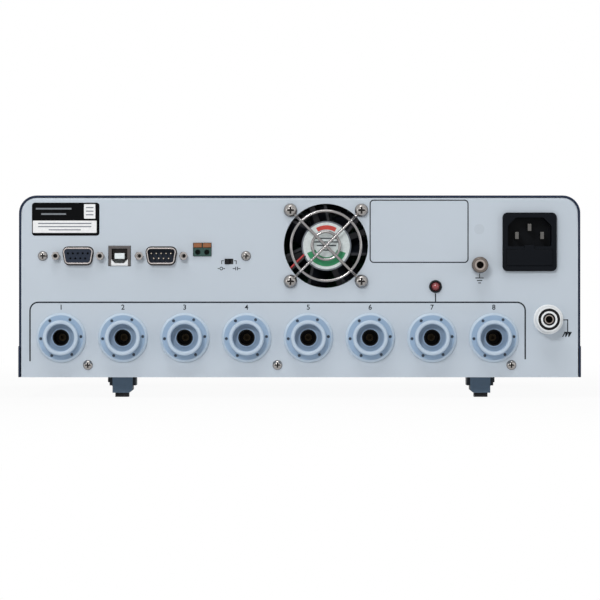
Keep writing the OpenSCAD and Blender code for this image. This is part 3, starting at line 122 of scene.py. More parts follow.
class TesterColours(bpy.types.PropertyGroup):
    panel: paint("Rear panel", "Powder coat of the rear panel", 190, 200, 210)
    cover: paint("Cover", "Powder coat of the wrap-round cover", 34, 44, 65)
    bezel: paint("Bezel", "Moulding round the front panel", 206, 213, 219)
    overlay: paint("Overlay", "Front panel sheet", 222, 227, 231)
    block: paint("Overlay block", "Dark field printed round the display", 52, 63, 78)
    socket: paint("Sockets", "Moulding of the high-voltage sockets", 150, 174, 199)
    inlet: paint("Inlet", "Moulding of the mains inlet and fuse drawer", 4, 8, 15)
    foot: paint("Feet", "Moulding of the rear feet", 84, 104, 124)
    header: paint("Terminal header", "Moulding of the interlock terminal", 26, 64, 58)
    lever: paint("Terminal levers", "Wire release levers", 136, 84, 48)
    lamp: paint("Lamp", "Lens of the warning lamp", 128, 34, 38)
    start: paint("Start button", "Cap of the start button", 46, 140, 74)
    stop: paint("Stop button", "Cap of the stop button", 186, 44, 40)
    ink: paint("Ink", "Printed lines, numerals and symbols", 24, 30, 38)


class TesterSizes(bpy.types.PropertyGroup):
    frame_line: length("Frame line", "Line printed round the sockets", 0.85)
    thin_line: length("Thin line", "Other printed lines", 0.65)
    numeral: length("Numerals", "Height of the channel numerals", 2.8)
    ink: length("Ink", "Thickness of a printed layer", 0.03)
    panel_bend: length("Panel bend", "Radius along the bent edge of the rear panel", 1.3)
    panel_corner: length("Panel corners", "Radius of the upper corners of the rear panel", 8.6)
    sheet_edge: length("Sheet edges", "Rounding on cut sheet metal", 0.15)
    moulded_edge: length("Moulded edges", "Rounding on moulded pieces", 0.35)
    small_edge: length("Small edges", "Rounding on small pieces", 0.12)
    lead: length("Fan lead", "Diameter of one wire of the fan's lead", 1.1)


class TesterStudio(bpy.types.PropertyGroup):
    camera_distance: length("Camera distance", "From the rear panel to the camera", 2600)
    view_width: length("View width", "Width of the picture at the rear panel", 337.8)
    camera_height: length("Camera height", "Height of the camera above the floor", 55)
    key_power: power("Key light", "Power of the light before the rear panel", 16)
    top_power: power("Top light", "Power of the light above", 13)
    fill_power: power("Fill light", "Power of each light at the sides", 5)
    front_power: power("Front light", "Power of the light on the controls", 16)
    ambient: bpy.props.FloatProperty(
        name="Ambient", description="Light from all round", min=0, max=2, default=0.2
    )


# Materials


class Wire:
    """A socket that takes part in sums: each sum adds a Math node."""

    def __init__(self, nodes, socket):
        self.nodes = nodes
        self.socket = socket

    def sum(self, operation, first, second):
        return self.nodes.node("ShaderNodeMath", {"operation": operation}, {0: first, 1: second})[0]

    def __add__(self, other):
        return self.sum("ADD", self, other)

    def __radd__(self, other):
        return self.sum("ADD", other, self)

    def __sub__(self, other):
        return self.sum("SUBTRACT", self, other)

    def __rsub__(self, other):
        return self.sum("SUBTRACT", other, self)

    def __mul__(self, other):
        return self.sum("MULTIPLY", self, other)

    def __rmul__(self, other):
        return self.sum("MULTIPLY", other, self)

    def __gt__(self, other):
        return self.sum("GREATER_THAN", self, other)

    def __lt__(self, other):
        return self.sum("LESS_THAN", self, other)


class Outputs:
    """The outputs of a node, by name or number."""

    def __init__(self, nodes, node):
        self.nodes = nodes
        self.node = node

    def __getitem__(self, key):
        return Wire(self.nodes, self.node.outputs[key])


class Nodes:
    """A node tree while it is being filled."""

    def __init__(self, tree):
        self.tree = tree
        tree.nodes.clear()

    def node(self, kind, settings, sockets):
        """Adds a node, with its settings first, then the values or links of its sockets."""
        made = self.tree.nodes.new(kind)
        made.location = (200 * len(self.tree.nodes), 0)
        for name, value in settings.items():
            setattr(made, name, value)
        for name, value in sockets.items():
            if isinstance(value, Wire):
                self.tree.links.new(value.socket, made.inputs[name])
            else:
                made.inputs[name].default_value = value
        return Outputs(self, made)

    def seen_directly(self):
        """1 for rays that show the background: from the camera, a mirror or glass."""
        path = self.node("ShaderNodeLightPath", {}, {})
        total = path["Is Camera Ray"] + path["Is Glossy Ray"] + path["Is Transmission Ray"]
        return self.node("ShaderNodeClamp", {}, {"Value": total})[0]


class Finish(Nodes):
    """A material while its nodes are being added."""

    def __init__(self, name):
        self.material = bpy.data.materials.new(name)
        self.material.use_nodes = True
        super().__init__(self.material.node_tree)
        self.place = self.node("ShaderNodeTexCoord", {}, {})["Object"]

    def noise(self, scale, detail, stretch=None):
        place = self.place
        if stretch:
            place = self.node("ShaderNodeMapping", {}, {"Vector": place, "Scale": stretch})["Vector"]
        return self.node("ShaderNodeTexNoise", {}, {"Vector": place, "Scale": scale, "Detail": detail})["Fac"]

    def mix(self, amount, first, second):
        sockets = {0: amount}
        for index, colour in ((6, first), (7, second)):
            sockets[index] = colour if isinstance(colour, Wire) else (*colour, 1)
        return self.node("ShaderNodeMix", {"data_type": "RGBA"}, sockets)[2]

    def tones(self, amount, colour, dark, light):
        """A colour that goes from a darker shade of it to a lighter one."""
        return self.mix(amount, shade(colour, dark), shade(colour, light))

    def worn(self, colour, dull=0.8):
        """Bare metal with dull patches: where they are, and its colour."""
        patches = self.noise(210, 4)
        return patches, self.tones(patches, colour, dull, 1)

    def bump(self, height, strength, distance):
        return self.node(
            "ShaderNodeBump", {}, {"Height": height, "Strength": strength, "Distance": distance}
        )["Normal"]

    def axes(self):
        parts = self.node("ShaderNodeSeparateXYZ", {}, {"Vector": self.place})
        return parts["X"], parts["Y"], parts["Z"]

    def ramp(self, value, low, high):
        """0 below low, 1 above high, and smooth from one to the other."""
        return self.node(
            "ShaderNodeMapRange",
            {"interpolation_type": "SMOOTHSTEP"},
            {"Value": value, "From Min": low, "From Max": high},
        )["Result"]

    def from_axes(self, spots):
        """Distance, squared, of the surface from the nearest of some axes along Y."""
        x, _, z = self.axes()
        nearest = None
        for spot_x, spot_z in spots:
            across, up = x - spot_x, z - spot_z
            squared = across * across + up * up
            nearest = nearest.sum("MINIMUM", nearest, squared) if nearest else squared
        return nearest

    def from_point(self, point):
        """Distance of the surface from a point."""
        offset = self.node(
            "ShaderNodeVectorMath", {"operation": "SUBTRACT"}, {0: self.place, 1: tuple(point)}
        )["Vector"]
        return self.node("ShaderNodeVectorMath", {"operation": "LENGTH"}, {0: offset})["Value"]

    def surface(self, sockets):
        shader = self.node("ShaderNodeBsdfPrincipled", {}, sockets)["BSDF"]
        self.node("ShaderNodeOutputMaterial", {}, {"Surface": shader})
        return self.material


def powder_coat(name, colour, roughness, grain_scale, depth, gloss=0.5):
    """Baked paint: a fine orange peel, and a cloudiness too faint to see at once."""
    coat = Finish(name)
    rub = coat.noise(55, 4)
    return coat.surface(
        {
            "Base Color": coat.tones(coat.noise(9, 3), colour, 0.965, 1.035),
            "Roughness": roughness + 0.12 * (rub - 0.5),
            "Specular IOR Level": gloss,
            "Normal": coat.bump(coat.noise(grain_scale, 2), depth, 0.2 * MM),
        }
    )


def moulding(name, colour, roughness, grain_scale=2400, depth=0.1, gloss=0.4, black_past=None):
    """Moulded plastic: spark-eroded texture, handling marks, and, where asked, painted shade that turns it
    black past a place along Y.
    """
    resin = Finish(name)
    marks = resin.noise(160, 5)
    base = resin.tones(resin.noise(38, 3), colour, 0.95, 1.05)
    if black_past is not None:
        # Painted shade: black past the given place along Y, standing for the shade on a foot's set-back root.
        base = resin.mix(resin.axes()[1] > black_past, base, shade(colour, FOOT_ROOT_PAINTED_SHADE))
    return resin.surface(
        {
            "Base Color": base,
            "Roughness": roughness + 0.16 * (marks - 0.5),
            "Specular IOR Level": gloss,
            "Normal": resin.bump(resin.noise(grain_scale, 1), depth, 0.15 * MM),
        }
    )


def socket_moulding(name, colour, centre, pitch, flange_face):
    """Plastic of a row of sockets: painted highlights on the collars and flange edges, painted shade in the
    recess, lighter at the lip, and in the spanner holes.
    """
    resin = Finish(name)
    x, y, z = resin.axes()
    across = resin.node("ShaderNodeMath", {"operation": "PINGPONG"}, {0: x - centre.x, 1: pitch / 2})[0]
    up = z - centre.z
    radius = resin.node("ShaderNodeMath", {"operation": "SQRT"}, {0: across * across + up * up})[0]

    def beyond(low, high):
        return resin.ramp(radius, low * MM, high * MM)

    flange_edge = beyond(12.4, 13.0)
    collar = beyond(7.5, 8.0) * (1 - beyond(9.7, 10.0))
    recess = 1 - beyond(7.2, 7.7)
    lip = beyond(4.4, 4.6) * (1 - beyond(5.2, 5.5))
    on_flange = beyond(10.2, 10.4) * (1 - beyond(12.4, 12.5))
    hole = on_flange * (y > flange_face + 0.2 * MM)
    marks = resin.noise(160, 5)
    plain = resin.tones(resin.noise(38, 3), colour, 0.96, 1.04)
    # Painted highlights: pale rings on the collar and on the flange's edge.
    collar_highlight = resin.mix(collar * (0.7 + 0.4 * marks), plain, linear(190, 206, 222))
    edge_highlight = resin.mix(flange_edge * (0.8 + 0.3 * marks), collar_highlight, linear(203, 218, 232))
    # Painted shade: the recess darker, less so on the lip round the bore.
    dusty = resin.mix(recess * (0.55 - 0.4 * lip), edge_highlight, shade(colour, 0.62))
    return resin.surface(
        {
            # Painted shade: the spanner holes almost black.
            "Base Color": resin.mix(hole * 0.9, dusty, (0.02, 0.04, 0.08)),
            "Roughness": 0.32 + 0.16 * (marks - 0.5),
            "Normal": resin.bump(resin.noise(3000, 1), 0.04, 0.15 * MM),
        }
    )


def plating(name, colour, roughness, grain_scale=3000, dull=0.8):
    """Plated or turned metal: a fine grain and dull patches."""
    metal = Finish(name)
    grain = metal.noise(grain_scale, 2)
    patches, bright = metal.worn(colour, dull)
    return metal.surface(
        {
            "Base Color": bright,
            "Metallic": 1.0,
            "Roughness": roughness + 0.12 * (patches - 0.5) + 0.08 * (grain - 0.5),
            "Normal": metal.bump(grain, 0.08, 0.05 * MM),
        }
    )


def bored_plating(name, colour, roughness, axes, bore, groove):
    """Turned and plated metal round bores along Y, with painted shade in the bores, and darker outside the
    groove's radius.
    """
    metal = Finish(name)
    squared = metal.from_axes(axes)
    inside = squared < bore * bore
    outside = metal.ramp(squared, (0.92 * groove) ** 2, groove * groove)
    patches, bright = metal.worn(colour)
    turned = metal.mix(outside, bright, shade(colour, 0.4))
    return metal.surface(
        {
            # Painted shade: the inside of each bore almost black.
            "Base Color": metal.mix(inside, turned, shade(colour, 0.1)),
            "Metallic": 1.0,
            "Roughness": roughness + 0.3 * inside + 0.12 * (patches - 0.5),
        }
    )


def shell_plating(name, colour, roughness, panel_face):
    """Plated shells of the D ports, with painted shade, and duller, where they sink behind the face of the
    panel.
    """
    metal = Finish(name)
    sunk = metal.ramp(metal.axes()[1], panel_face - 0.1 * MM, panel_face + 0.5 * MM)
    patches, bright = metal.worn(colour)
    return metal.surface(
        {
            # Painted shade in the gap behind the panel's face.
            "Base Color": metal.mix(sunk, bright, shade(colour, 0.12)),
            "Metallic": 1.0,
            "Roughness": roughness + 0.3 * sunk + 0.12 * (patches - 0.5),
        }
    )


def socket_shell(name, colour, centre, face):
    """Plated shell of the USB port, with painted shade in its opening, and pale along the opening's floor."""
    metal = Finish(name)
    x, y, z = metal.axes()
    floor_height, half_width = centre.z - 1.9 * MM, 4.7 * MM
    across = x - centre.x
    floor = (z < floor_height) * (across * across < half_width**2)
    inside = metal.ramp(y, face + 0.2 * MM, face + 0.8 * MM)
    patches, bright = metal.worn(colour)
    # Painted shade: the inside of the opening darker.
    shaded = metal.mix(inside, bright, shade(colour, 0.2))
    return metal.surface(
        {
            "Base Color": metal.mix(floor, shaded, linear(226, 228, 230)),
            "Metallic": 1 - floor,
            "Roughness": 0.2 + 0.2 * floor + 0.12 * (patches - 0.5),
        }
    )


def screw_plating(name, colour, heads, top, head):
    """Zinc plating with painted shade in the cross recess of each head on the rear panel."""
    metal = Finish(name)
    recess = (metal.from_axes(heads) < (0.29 * head) ** 2) * (metal.axes()[1] > top + 0.08 * head)
    patches, bright = metal.worn(colour)
    return metal.surface(
        {
            # Painted shade in the cross recess of each head.
            "Base Color": metal.mix(recess, bright, shade(colour, 0.08)),
            "Metallic": 1.0,
            "Roughness": 0.2 + 0.4 * recess + 0.12 * (patches - 0.5),
        }
    )


def galvanised(name, colour):
    """Zinc-coated sheet with its crystal flakes."""
    zinc = Finish(name)
    flakes = zinc.node("ShaderNodeTexVoronoi", {}, {"Vector": zinc.place, "Scale": 260.0})["Color"]
    flake = zinc.node("ShaderNodeSeparateColor", {}, {"Color": flakes})["Red"]
    return zinc.surface(
        {
            "Base Color": zinc.tones(flake, colour, 0.93, 1),
            "Metallic": 1.0,
            "Roughness": 0.36 + 0.08 * flake,
        }
    )


def rubber(name, colour):
    """Matt rubber, dusty in its grain."""
    pad = Finish(name)
    grain = pad.noise(1800, 3)
    return pad.surface(
        {
            "Base Color": pad.tones(pad.noise(300, 4), colour, 1, 2.2),
            "Roughness": 0.78 + 0.14 * (grain - 0.5),
            "Normal": pad.bump(grain, 0.25, 0.2 * MM),
        }
    )


def print_ink(name, colour, gloss=0.2):
    """Screen-printed ink, a little thinner in places."""
    layer = Finish(name)
    thin = layer.noise(900, 3)
    return layer.surface(
        {
            "Base Color": layer.tones(thin, colour, 0.85, 1.25),
            "Roughness": 0.55 + 0.12 * (thin - 0.5),
            "Specular IOR Level": gloss,
        }
    )


def clear_sheet(name, colour):
    """Clear plastic with a faint tint and finger marks."""
    sheet = Finish(name)
    marks = sheet.noise(70, 5)
    return sheet.surface(
        {
            "Base Color": (*colour, 1),
            "Roughness": 0.05 + 0.12 * marks,
            "Alpha": 0.1 + 0.06 * marks,
        }
    )


def lamp_lens(name, colour, centre, radius):
    """Tinted lens over a small diode: brighter in the middle."""
    lens = Finish(name)
    edge = lens.from_point(centre) * (1 / radius)
    core = 1 - lens.node("ShaderNodeClamp", {}, {"Value": edge})[0]
    glow = core * core
    return lens.surface(
        {
            "Base Color": lens.tones(glow, colour, 0.7, 1.7),
            "Roughness": 0.16 + 0.1 * lens.noise(1500, 2),
            "Coat Weight": 0.6,
            "Emission Color": lens.tones(glow, colour, 0, 1),
            "Emission Strength": 0.2,
        }
    )


def circuit_board(name, mask, parts, top):
    """Solder mask with traces and pads, and dark parts above the board."""
    board = Finish(name)
    cells = board.node(
        "ShaderNodeTexVoronoi", {"feature": "DISTANCE_TO_EDGE"}, {"Vector": board.place, "Scale": 210.0}
    )["Distance"]
    pads = board.node("ShaderNodeTexVoronoi", {}, {"Vector": board.place, "Scale": 260.0})["Distance"]
    traces = board.mix(cells < 0.06, mask, shade(mask, 1.6))
    tinned = board.mix(pads < 0.16, traces, (0.55, 0.53, 0.48))
    grain = board.noise(900, 2)
    casing = board.tones(grain, parts, 0.85, 1.15)
    return board.surface(
        {
            "Base Color": board.mix(board.axes()[2] > top, tinned, casing),
            "Roughness": 0.38 + 0.1 * grain,
            "Normal": board.bump(cells, 0.05, 0.05 * MM),
        }
    )


def wound_core(name, iron, tape, half_width, centre):
    """Stacked laminations, with taped windings fore and aft of them."""
    core = Finish(name)
    stack = core.node(
        "ShaderNodeTexWave",
        {"bands_direction": "Y"},
        {"Vector": core.place, "Scale": 320.0, "Distortion": 0.6, "Detail": 1.0},
    )["Fac"]
    offset = core.axes()[1] - centre
    wound = offset * offset > half_width * half_width
    wrap = core.noise(420, 3, (1, 1, 6))
    laminations = core.tones(stack, iron, 0.7, 1)
    windings = core.tones(wrap, tape, 0.85, 1.1)
    return core.surface(
        {
            "Base Color": core.mix(wound, laminations, windings),
            "Metallic": 0.7 * (1 - wound),
            "Roughness": 0.42 + 0.12 * wrap,
            "Normal": core.bump(stack, 0.12, 0.1 * MM),
        }
    )


def fuse_tube(name, cap, glass, half_glass, centre):
    """Metal caps on a glass tube."""
    tube = Finish(name)
    offset = tube.axes()[0] - centre
    capped = offset * offset > half_glass * half_glass
    marks = tube.noise(500, 3)
    return tube.surface(
        {
            "Base Color": tube.mix(capped, glass, tube.tones(marks, cap, 0.85, 1)),
            "Metallic": capped,
            "Roughness": 0.08 + 0.2 * capped + 0.06 * marks,
        }
    )


def lit_ink(name, colour):
    """A lit area of the display, with the faint grid of its dots."""
    area = Finish(name)
    dots = area.noise(2600, 1)
    return area.surface(
        {
            "Base Color": (*shade(colour, 0.25), 1),
            "Roughness": 0.3 + 0.1 * dots,
            "Emission Color": area.tones(dots, colour, 0.9, 1.08),
            "Emission Strength": 0.9,
        }
    )


def made_once(name, recipe, *details, **options):
    """The material of that name, made the first time it is asked for."""
    return bpy.data.materials.get(name) or recipe(name, *details, **options)


def panel_coat(name, colour):
    return made_once(name, powder_coat, colour, roughness=0.4, grain_scale=1500, depth=0.1)


def fine_moulding(name, colour, roughness, grain_scale, depth, gloss=0.4):
    """A moulding with a finer texture than the usual one."""
    return made_once(
        name, moulding, colour, roughness, grain_scale=grain_scale, depth=depth, gloss=gloss
    )


def black_moulding():
    return made_once("black moulding", moulding, linear(12, 13, 17), 0.45, gloss=0.15)


def board_finish(name, node, parts):
    """Finish of a level board, with the parts on it in a colour of their own."""
    return made_once(name, circuit_board, BOARD_MASK, parts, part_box(node)[0].z + BOARD_THICKNESS)


# Shaping


def select_only(piece):
    bpy.ops.object.select_all(action="DESELECT")
    piece.select_set(True)
    bpy.context.view_layer.objects.active = piece


def dress(node, material, edge=0, segments=2):
    """Gives a node its finish, and rounds its sharp edges."""
    piece = NODES[node]
    piece.data.materials.clear()
    piece.data.materials.append(material)
    if edge:
        weld = piece.modifiers.new("joined corners", "WELD")
        weld.merge_threshold = MERGE_WITHIN
        bevel = piece.modifiers.new("rounded edges", "BEVEL")
        bevel.width = edge
        bevel.segments = segments
        bevel.limit_method = "ANGLE"
        bevel.angle_limit = SHARP_ANGLE
        bevel.harden_normals = True


def dress_all(finishes, edge=0, segments=2):
    for node, material in finishes.items():
        dress(node, material, edge, segments)


def settle(piece, name, material, body):
    """Fixes the place of a finished piece in its mesh and hands it to its body."""
    piece.name = name
    piece.data.name = name
    piece.data.materials.clear()
    piece.data.materials.append(material)
    select_only(piece)
    bpy.ops.object.transform_apply(location=True, rotation=True, scale=True)
    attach(piece, body)


def lay(piece, name, material, side, lift, thickness, body):
    """Settles a flat piece on the rear or front face, lift above it."""
    if side == "rear":
        piece.rotation_euler = (math.pi / 2, 0, 0)
        piece.location.y = REAR_FACE - lift - thickness / 2
    else:
        piece.rotation_euler = (math.pi / 2, 0, math.pi)
        piece.location.y = FRONT_FACE + lift + thickness / 2
    settle(piece, name, material, body)


def joined(pieces):
    """Several meshes as one piece."""
    select_only(pieces[0])
    for piece in pieces:
        piece.select_set(True)
    if len(pieces) > 1:
        bpy.ops.object.join()
    return bpy.context.object


def new_curve(dimensions):
    bpy.ops.object.select_all(action="DESELECT")
    bpy.ops.object.add(type="CURVE")
    curve = bpy.context.object.data
    curve.dimensions = dimensions
    return curve


def cut_sheet(loops, thickness):
    """A flat sheet from closed loops in millimetres: a loop inside another one is a hole."""
    edge = new_curve("2D")
    edge.fill_mode = "BOTH"
    edge.extrude = thickness / 2
    for loop in loops:
        spline = edge.splines.new("POLY")
        spline.points.add(len(loop) - 1)
        for point, (across, up) in zip(spline.points, loop):
            point.co = (across * MM, up * MM, 0, 1)
        spline.use_cyclic_u = True
    bpy.ops.object.convert(target="MESH")
    return bpy.context.object


def tube(points, diameter):
    """A round wire through points in metres."""
    wire = new_curve("3D")
    wire.bevel_depth = diameter / 2
    wire.bevel_resolution = 3
    wire.use_fill_caps = True
    spline = wire.splines.new("NURBS")
    spline.points.add(len(points) - 1)
    for point, place in zip(spline.points, points):
        point.co = (*place, 1)
    spline.use_endpoint_u = True
    spline.order_u = 3
    bpy.ops.object.convert(target="MESH")
    select_only(bpy.context.object)
    bpy.ops.object.shade_smooth_by_angle(angle=SHARP_ANGLE)
    return bpy.context.object


def set_type(words, thickness, weight=0.0):
    """Numerals as one flat mesh: each word is its text, middle and height in millimetres."""
    made = []
    for text, across, up, height in words:
        bpy.ops.object.select_all(action="DESELECT")
        bpy.ops.object.text_add()
        word = bpy.context.object
        word.data.body = text
        word.data.align_x = "CENTER"
        word.data.align_y = "CENTER"
        word.data.size = height * MM * FONT_SIZE_PER_HEIGHT
        word.data.extrude = thickness / 2
        word.data.offset = weight * MM
        bpy.ops.object.convert(target="MESH")
        word = bpy.context.object
        word.location = (across * MM, up * MM, 0)
        bpy.ops.object.transform_apply(location=True, rotation=True, scale=True)
        made.append(bpy.context.object)
    return joined(made)


def block(low, high):
    """A box between two corners."""
    bpy.ops.object.select_all(action="DESELECT")
    centre = [(near + far) / 2 for near, far in zip(low, high)]
    bpy.ops.mesh.primitive_cube_add(size=1, location=centre)
    made = bpy.context.object
    made.scale = [far - near for near, far in zip(low, high)]
    bpy.ops.object.transform_apply(location=True, rotation=True, scale=True)
    return made


def deselect(kind):
    """Deselects the active mesh, so that edges or faces can be chosen by their place."""
    bpy.ops.object.mode_set(mode="EDIT")
    bpy.ops.mesh.select_mode(type=kind)
    bpy.ops.mesh.select_all(action="DESELECT")
    bpy.ops.object.mode_set(mode="OBJECT")


def bevel_edges(piece, chosen, offset, segments):
    """Bevels the edges whose two ends pass a test."""
    deselect("EDGE")
    for edge in piece.data.edges:
        edge.select = chosen(*(piece.data.vertices[index].co for index in edge.vertices))
    bpy.ops.object.mode_set(mode="EDIT")
    bpy.ops.mesh.bevel(offset=offset, segments=segments, affect="EDGES")
    bpy.ops.object.mode_set(mode="OBJECT")


# Outlines in millimetres, each a list of points


def bar(across, up, width, height):
    x, y = width / 2, height / 2
    return [(across - x, up - y), (across + x, up - y), (across + x, up + y), (across - x, up + y)]


def around(across, up, radius, degrees):
    """A point on a circle."""
    turn = math.radians(degrees)
    return (across + radius * math.cos(turn), up + radius * math.sin(turn))


def arc(across, up, radius, start, end, steps=8):
    return [around(across, up, radius, start + (end - start) * step / steps) for step in range(steps + 1)]


def band(across, up, outer, inner, start, end, steps):
    """Part of a ring."""
    return arc(across, up, outer, start, end, steps) + arc(across, up, inner, end, start, steps)


def disc(across, up, radius):
    return arc(across, up, radius, 0, 360, 48)[:-1]


def rounded(across, up, width, height, radius):
    x, y = width / 2 - radius, height / 2 - radius
    return (
        arc(across + x, up + y, radius, 0, 90)
        + arc(across - x, up + y, radius, 90, 180)
        + arc(across - x, up - y, radius, 180, 270)
        + arc(across + x, up - y, radius, 270, 360)
    )


def outline(across, up, width, height, radius, line):
    """Two loops: the outside and inside of a printed line."""
    return [
        rounded(across, up, width + line, height + line, radius + line / 2),
        rounded(across, up, width - line, height - line, radius - line / 2),
    ]


def stroke(points, width):
    """One loop round an open line of points."""
    left, right = [], []
    for index, (x, y) in enumerate(points):
        before = points[max(index - 1, 0)]
        after = points[min(index + 1, len(points) - 1)]
        into = math.atan2(y - before[1], x - before[0]) if index else None
        out = math.atan2(after[1] - y, after[0] - x) if index < len(points) - 1 else into
        into = out if into is None else into
        half_turn = math.atan2(math.sin(out - into), math.cos(out - into)) / 2
        normal = into + half_turn + math.pi / 2
        reach = width / 2 / math.cos(half_turn)
        left.append((x + reach * math.cos(normal), y + reach * math.sin(normal)))
        right.append((x - reach * math.cos(normal), y - reach * math.sin(normal)))
    return left + right[::-1]


# Operators


class DressCase(bpy.types.Operator):
    """Coats the cover, tray, screws and feet, and models the bent edge of the rear panel."""

    bl_idname = "tester.dress_case"
    bl_label = "Case"

    def execute(self, context):
        colours = context.scene.tester_colours
        sizes = context.scene.tester_sizes
        cover = made_once(
            "cover powder coat",
            powder_coat,
            colours.cover,
            roughness=0.58,
            grain_scale=1100,
            depth=0.22,
            gloss=0.14,
        )
        port_row, lower_row = middle("port_shells").z, 18.4 * MM
        heads = [(x * MM, port_row) for x in (-144.6, -30.2)]
        heads += [(x * MM, lower_row) for x in (-119.2, -12.5, 119.2)]
        top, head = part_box("panel_screws")[0].y, 5.6 * MM
        screw = made_once("screw zinc", screw_plating, SCREW_ZINC, heads, top, head)
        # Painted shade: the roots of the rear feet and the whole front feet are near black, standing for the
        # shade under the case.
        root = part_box("rear_feet")[0].y + 1.5 * MM
        foot = made_once("foot moulding", moulding, colours.foot, 0.55, gloss=0.3, black_past=root)
        black = shade(colours.foot, FOOT_ROOT_PAINTED_SHADE)
        front_foot = made_once("front foot moulding", moulding, black, 0.7, gloss=0.05)
        feet = {
            "rear_feet": foot,
            "front_feet": front_foot,
            "tilt_leg_left": front_foot,
            "tilt_leg_right": front_foot,
            "foot_pads": made_once("foot rubber", rubber, linear(14, 16, 20)),
        }
        dress("top_cover", cover, sizes.sheet_edge, 1)
        dress("chassis_tray", made_once("tray zinc", galvanised, (0.62, 0.64, 0.66)))
        dress("panel_screws", screw, sizes.small_edge)
        dress_all(feet, sizes.moulded_edge)
        self.bend_rear_panel(colours, sizes)
        return {"FINISHED"}

    def bend_rear_panel(self, colours, sizes):
        """A copy of the panel, cut to the radius of its folded edge."""
        form = self.folded_form(sizes)
        select_only(NODES["rear_panel"])
        bpy.ops.object.duplicate()
        plate = bpy.context.object
        plate.parent = None
        for key in list(plate.keys()):
            del plate[key]
        bpy.ops.object.mode_set(mode="EDIT")
        bpy.ops.mesh.select_all(action="SELECT")
        bpy.ops.mesh.remove_doubles(threshold=MERGE_WITHIN)
        bpy.ops.object.mode_set(mode="OBJECT")
        bpy.ops.mesh.customdata_custom_splitnormals_clear()
        fold = plate.modifiers.new("folded edge", "BOOLEAN")
        fold.operation = "INTERSECT"
        fold.solver = "EXACT"
        fold.object = form
        bpy.ops.object.modifier_apply(modifier=fold.name)
        bpy.data.objects.remove(form)
        bpy.ops.object.shade_smooth_by_angle(angle=math.radians(35))
        for face in plate.data.polygons:
            face.use_smooth = abs(face.normal.y) < 0.999
        coat = panel_coat("panel powder coat", colours.panel)
        settle(plate, "rear_panel_plate", coat, "case")
        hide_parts("rear_panel")

    def folded_form(self, sizes):
        """A block with the panel's upper corners and the radius of its fold, open below."""
        low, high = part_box("rear_panel")
        spare, near, depth = 0.02 * MM, 0.01 * MM, 12 * MM
        front, side, top = low.y - spare, high.x + spare, high.z + spare
        form = block((-side, front, 0), (side, front + depth, top))

        def round_where(test, radius, segments):
            bevel_edges(form, lambda start, end: test(start) and test(end), radius, segments)

        for hand in SIDES:
            round_where(lambda p: p.x * hand > high.x - near and p.z > top - near, sizes.panel_corner, 16)
        round_where(lambda p: p.y < front + near and p.z > near, sizes.panel_bend, 6)
        return form


class DressSockets(bpy.types.Operator):
    """Finishes the eight high-voltage sockets and what is inside them."""

    bl_idname = "tester.dress_sockets"
    bl_label = "High-voltage sockets"

    def execute(self, context):
        colours = context.scene.tester_colours
        sizes = context.scene.tester_sizes
        first, second = middle("hv_socket_1"), middle("hv_socket_2")
        pitch = second.x - first.x
        flange_face, rim = REAR_FACE - 3 * MM, 0.25 * MM
        body = made_once("socket moulding", socket_moulding, colours.socket, first, pitch, flange_face)
        for number in CHANNELS:
            dress(f"hv_socket_{number}", body, rim)
        dress("hv_socket_inserts", black_moulding(), sizes.small_edge, 1)
        dress("hv_socket_nuts", made_once("nut steel", plating, (0.6, 0.61, 0.62), 0.34))
        # Painted shade: the contacts' brass made nearly black, standing for the shade deep in the bores.
        dress("hv_contacts", made_once("contact brass", plating, (0.09, 0.07, 0.045), 0.5))
        return {"FINISHED"}


class DressMains(bpy.types.Operator):
    """Finishes the mains inlet, its blades and the fuse drawer."""

    bl_idname = "tester.dress_mains"
    bl_label = "Mains inlet"

    def execute(self, context):
        colours = context.scene.tester_colours
        sizes = context.scene.tester_sizes
        black = fine_moulding("inlet moulding", colours.inlet, 0.36, grain_scale=2200, depth=0.08, gloss=0.09)
        blade = made_once("blade plating", plating, (0.14, 0.135, 0.13), 0.14, grain_scale=3600)
        low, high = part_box("fuse")
        cap = 4.6 * MM
        half_glass, centre = (high.x - low.x) / 2 - cap, (high.x + low.x) / 2
        steel, glass = (0.72, 0.7, 0.66), linear(196, 204, 200)
        dress("inlet_body", black, 0.5 * MM, 3)
        dress("fuse_drawer", black, 0.45 * MM, 3)
        dress("inlet_pins", blade, sizes.small_edge)
        dress("fuse", made_once("fuse tube", fuse_tube, steel, glass, half_glass, centre))
        return {"FINISHED"}


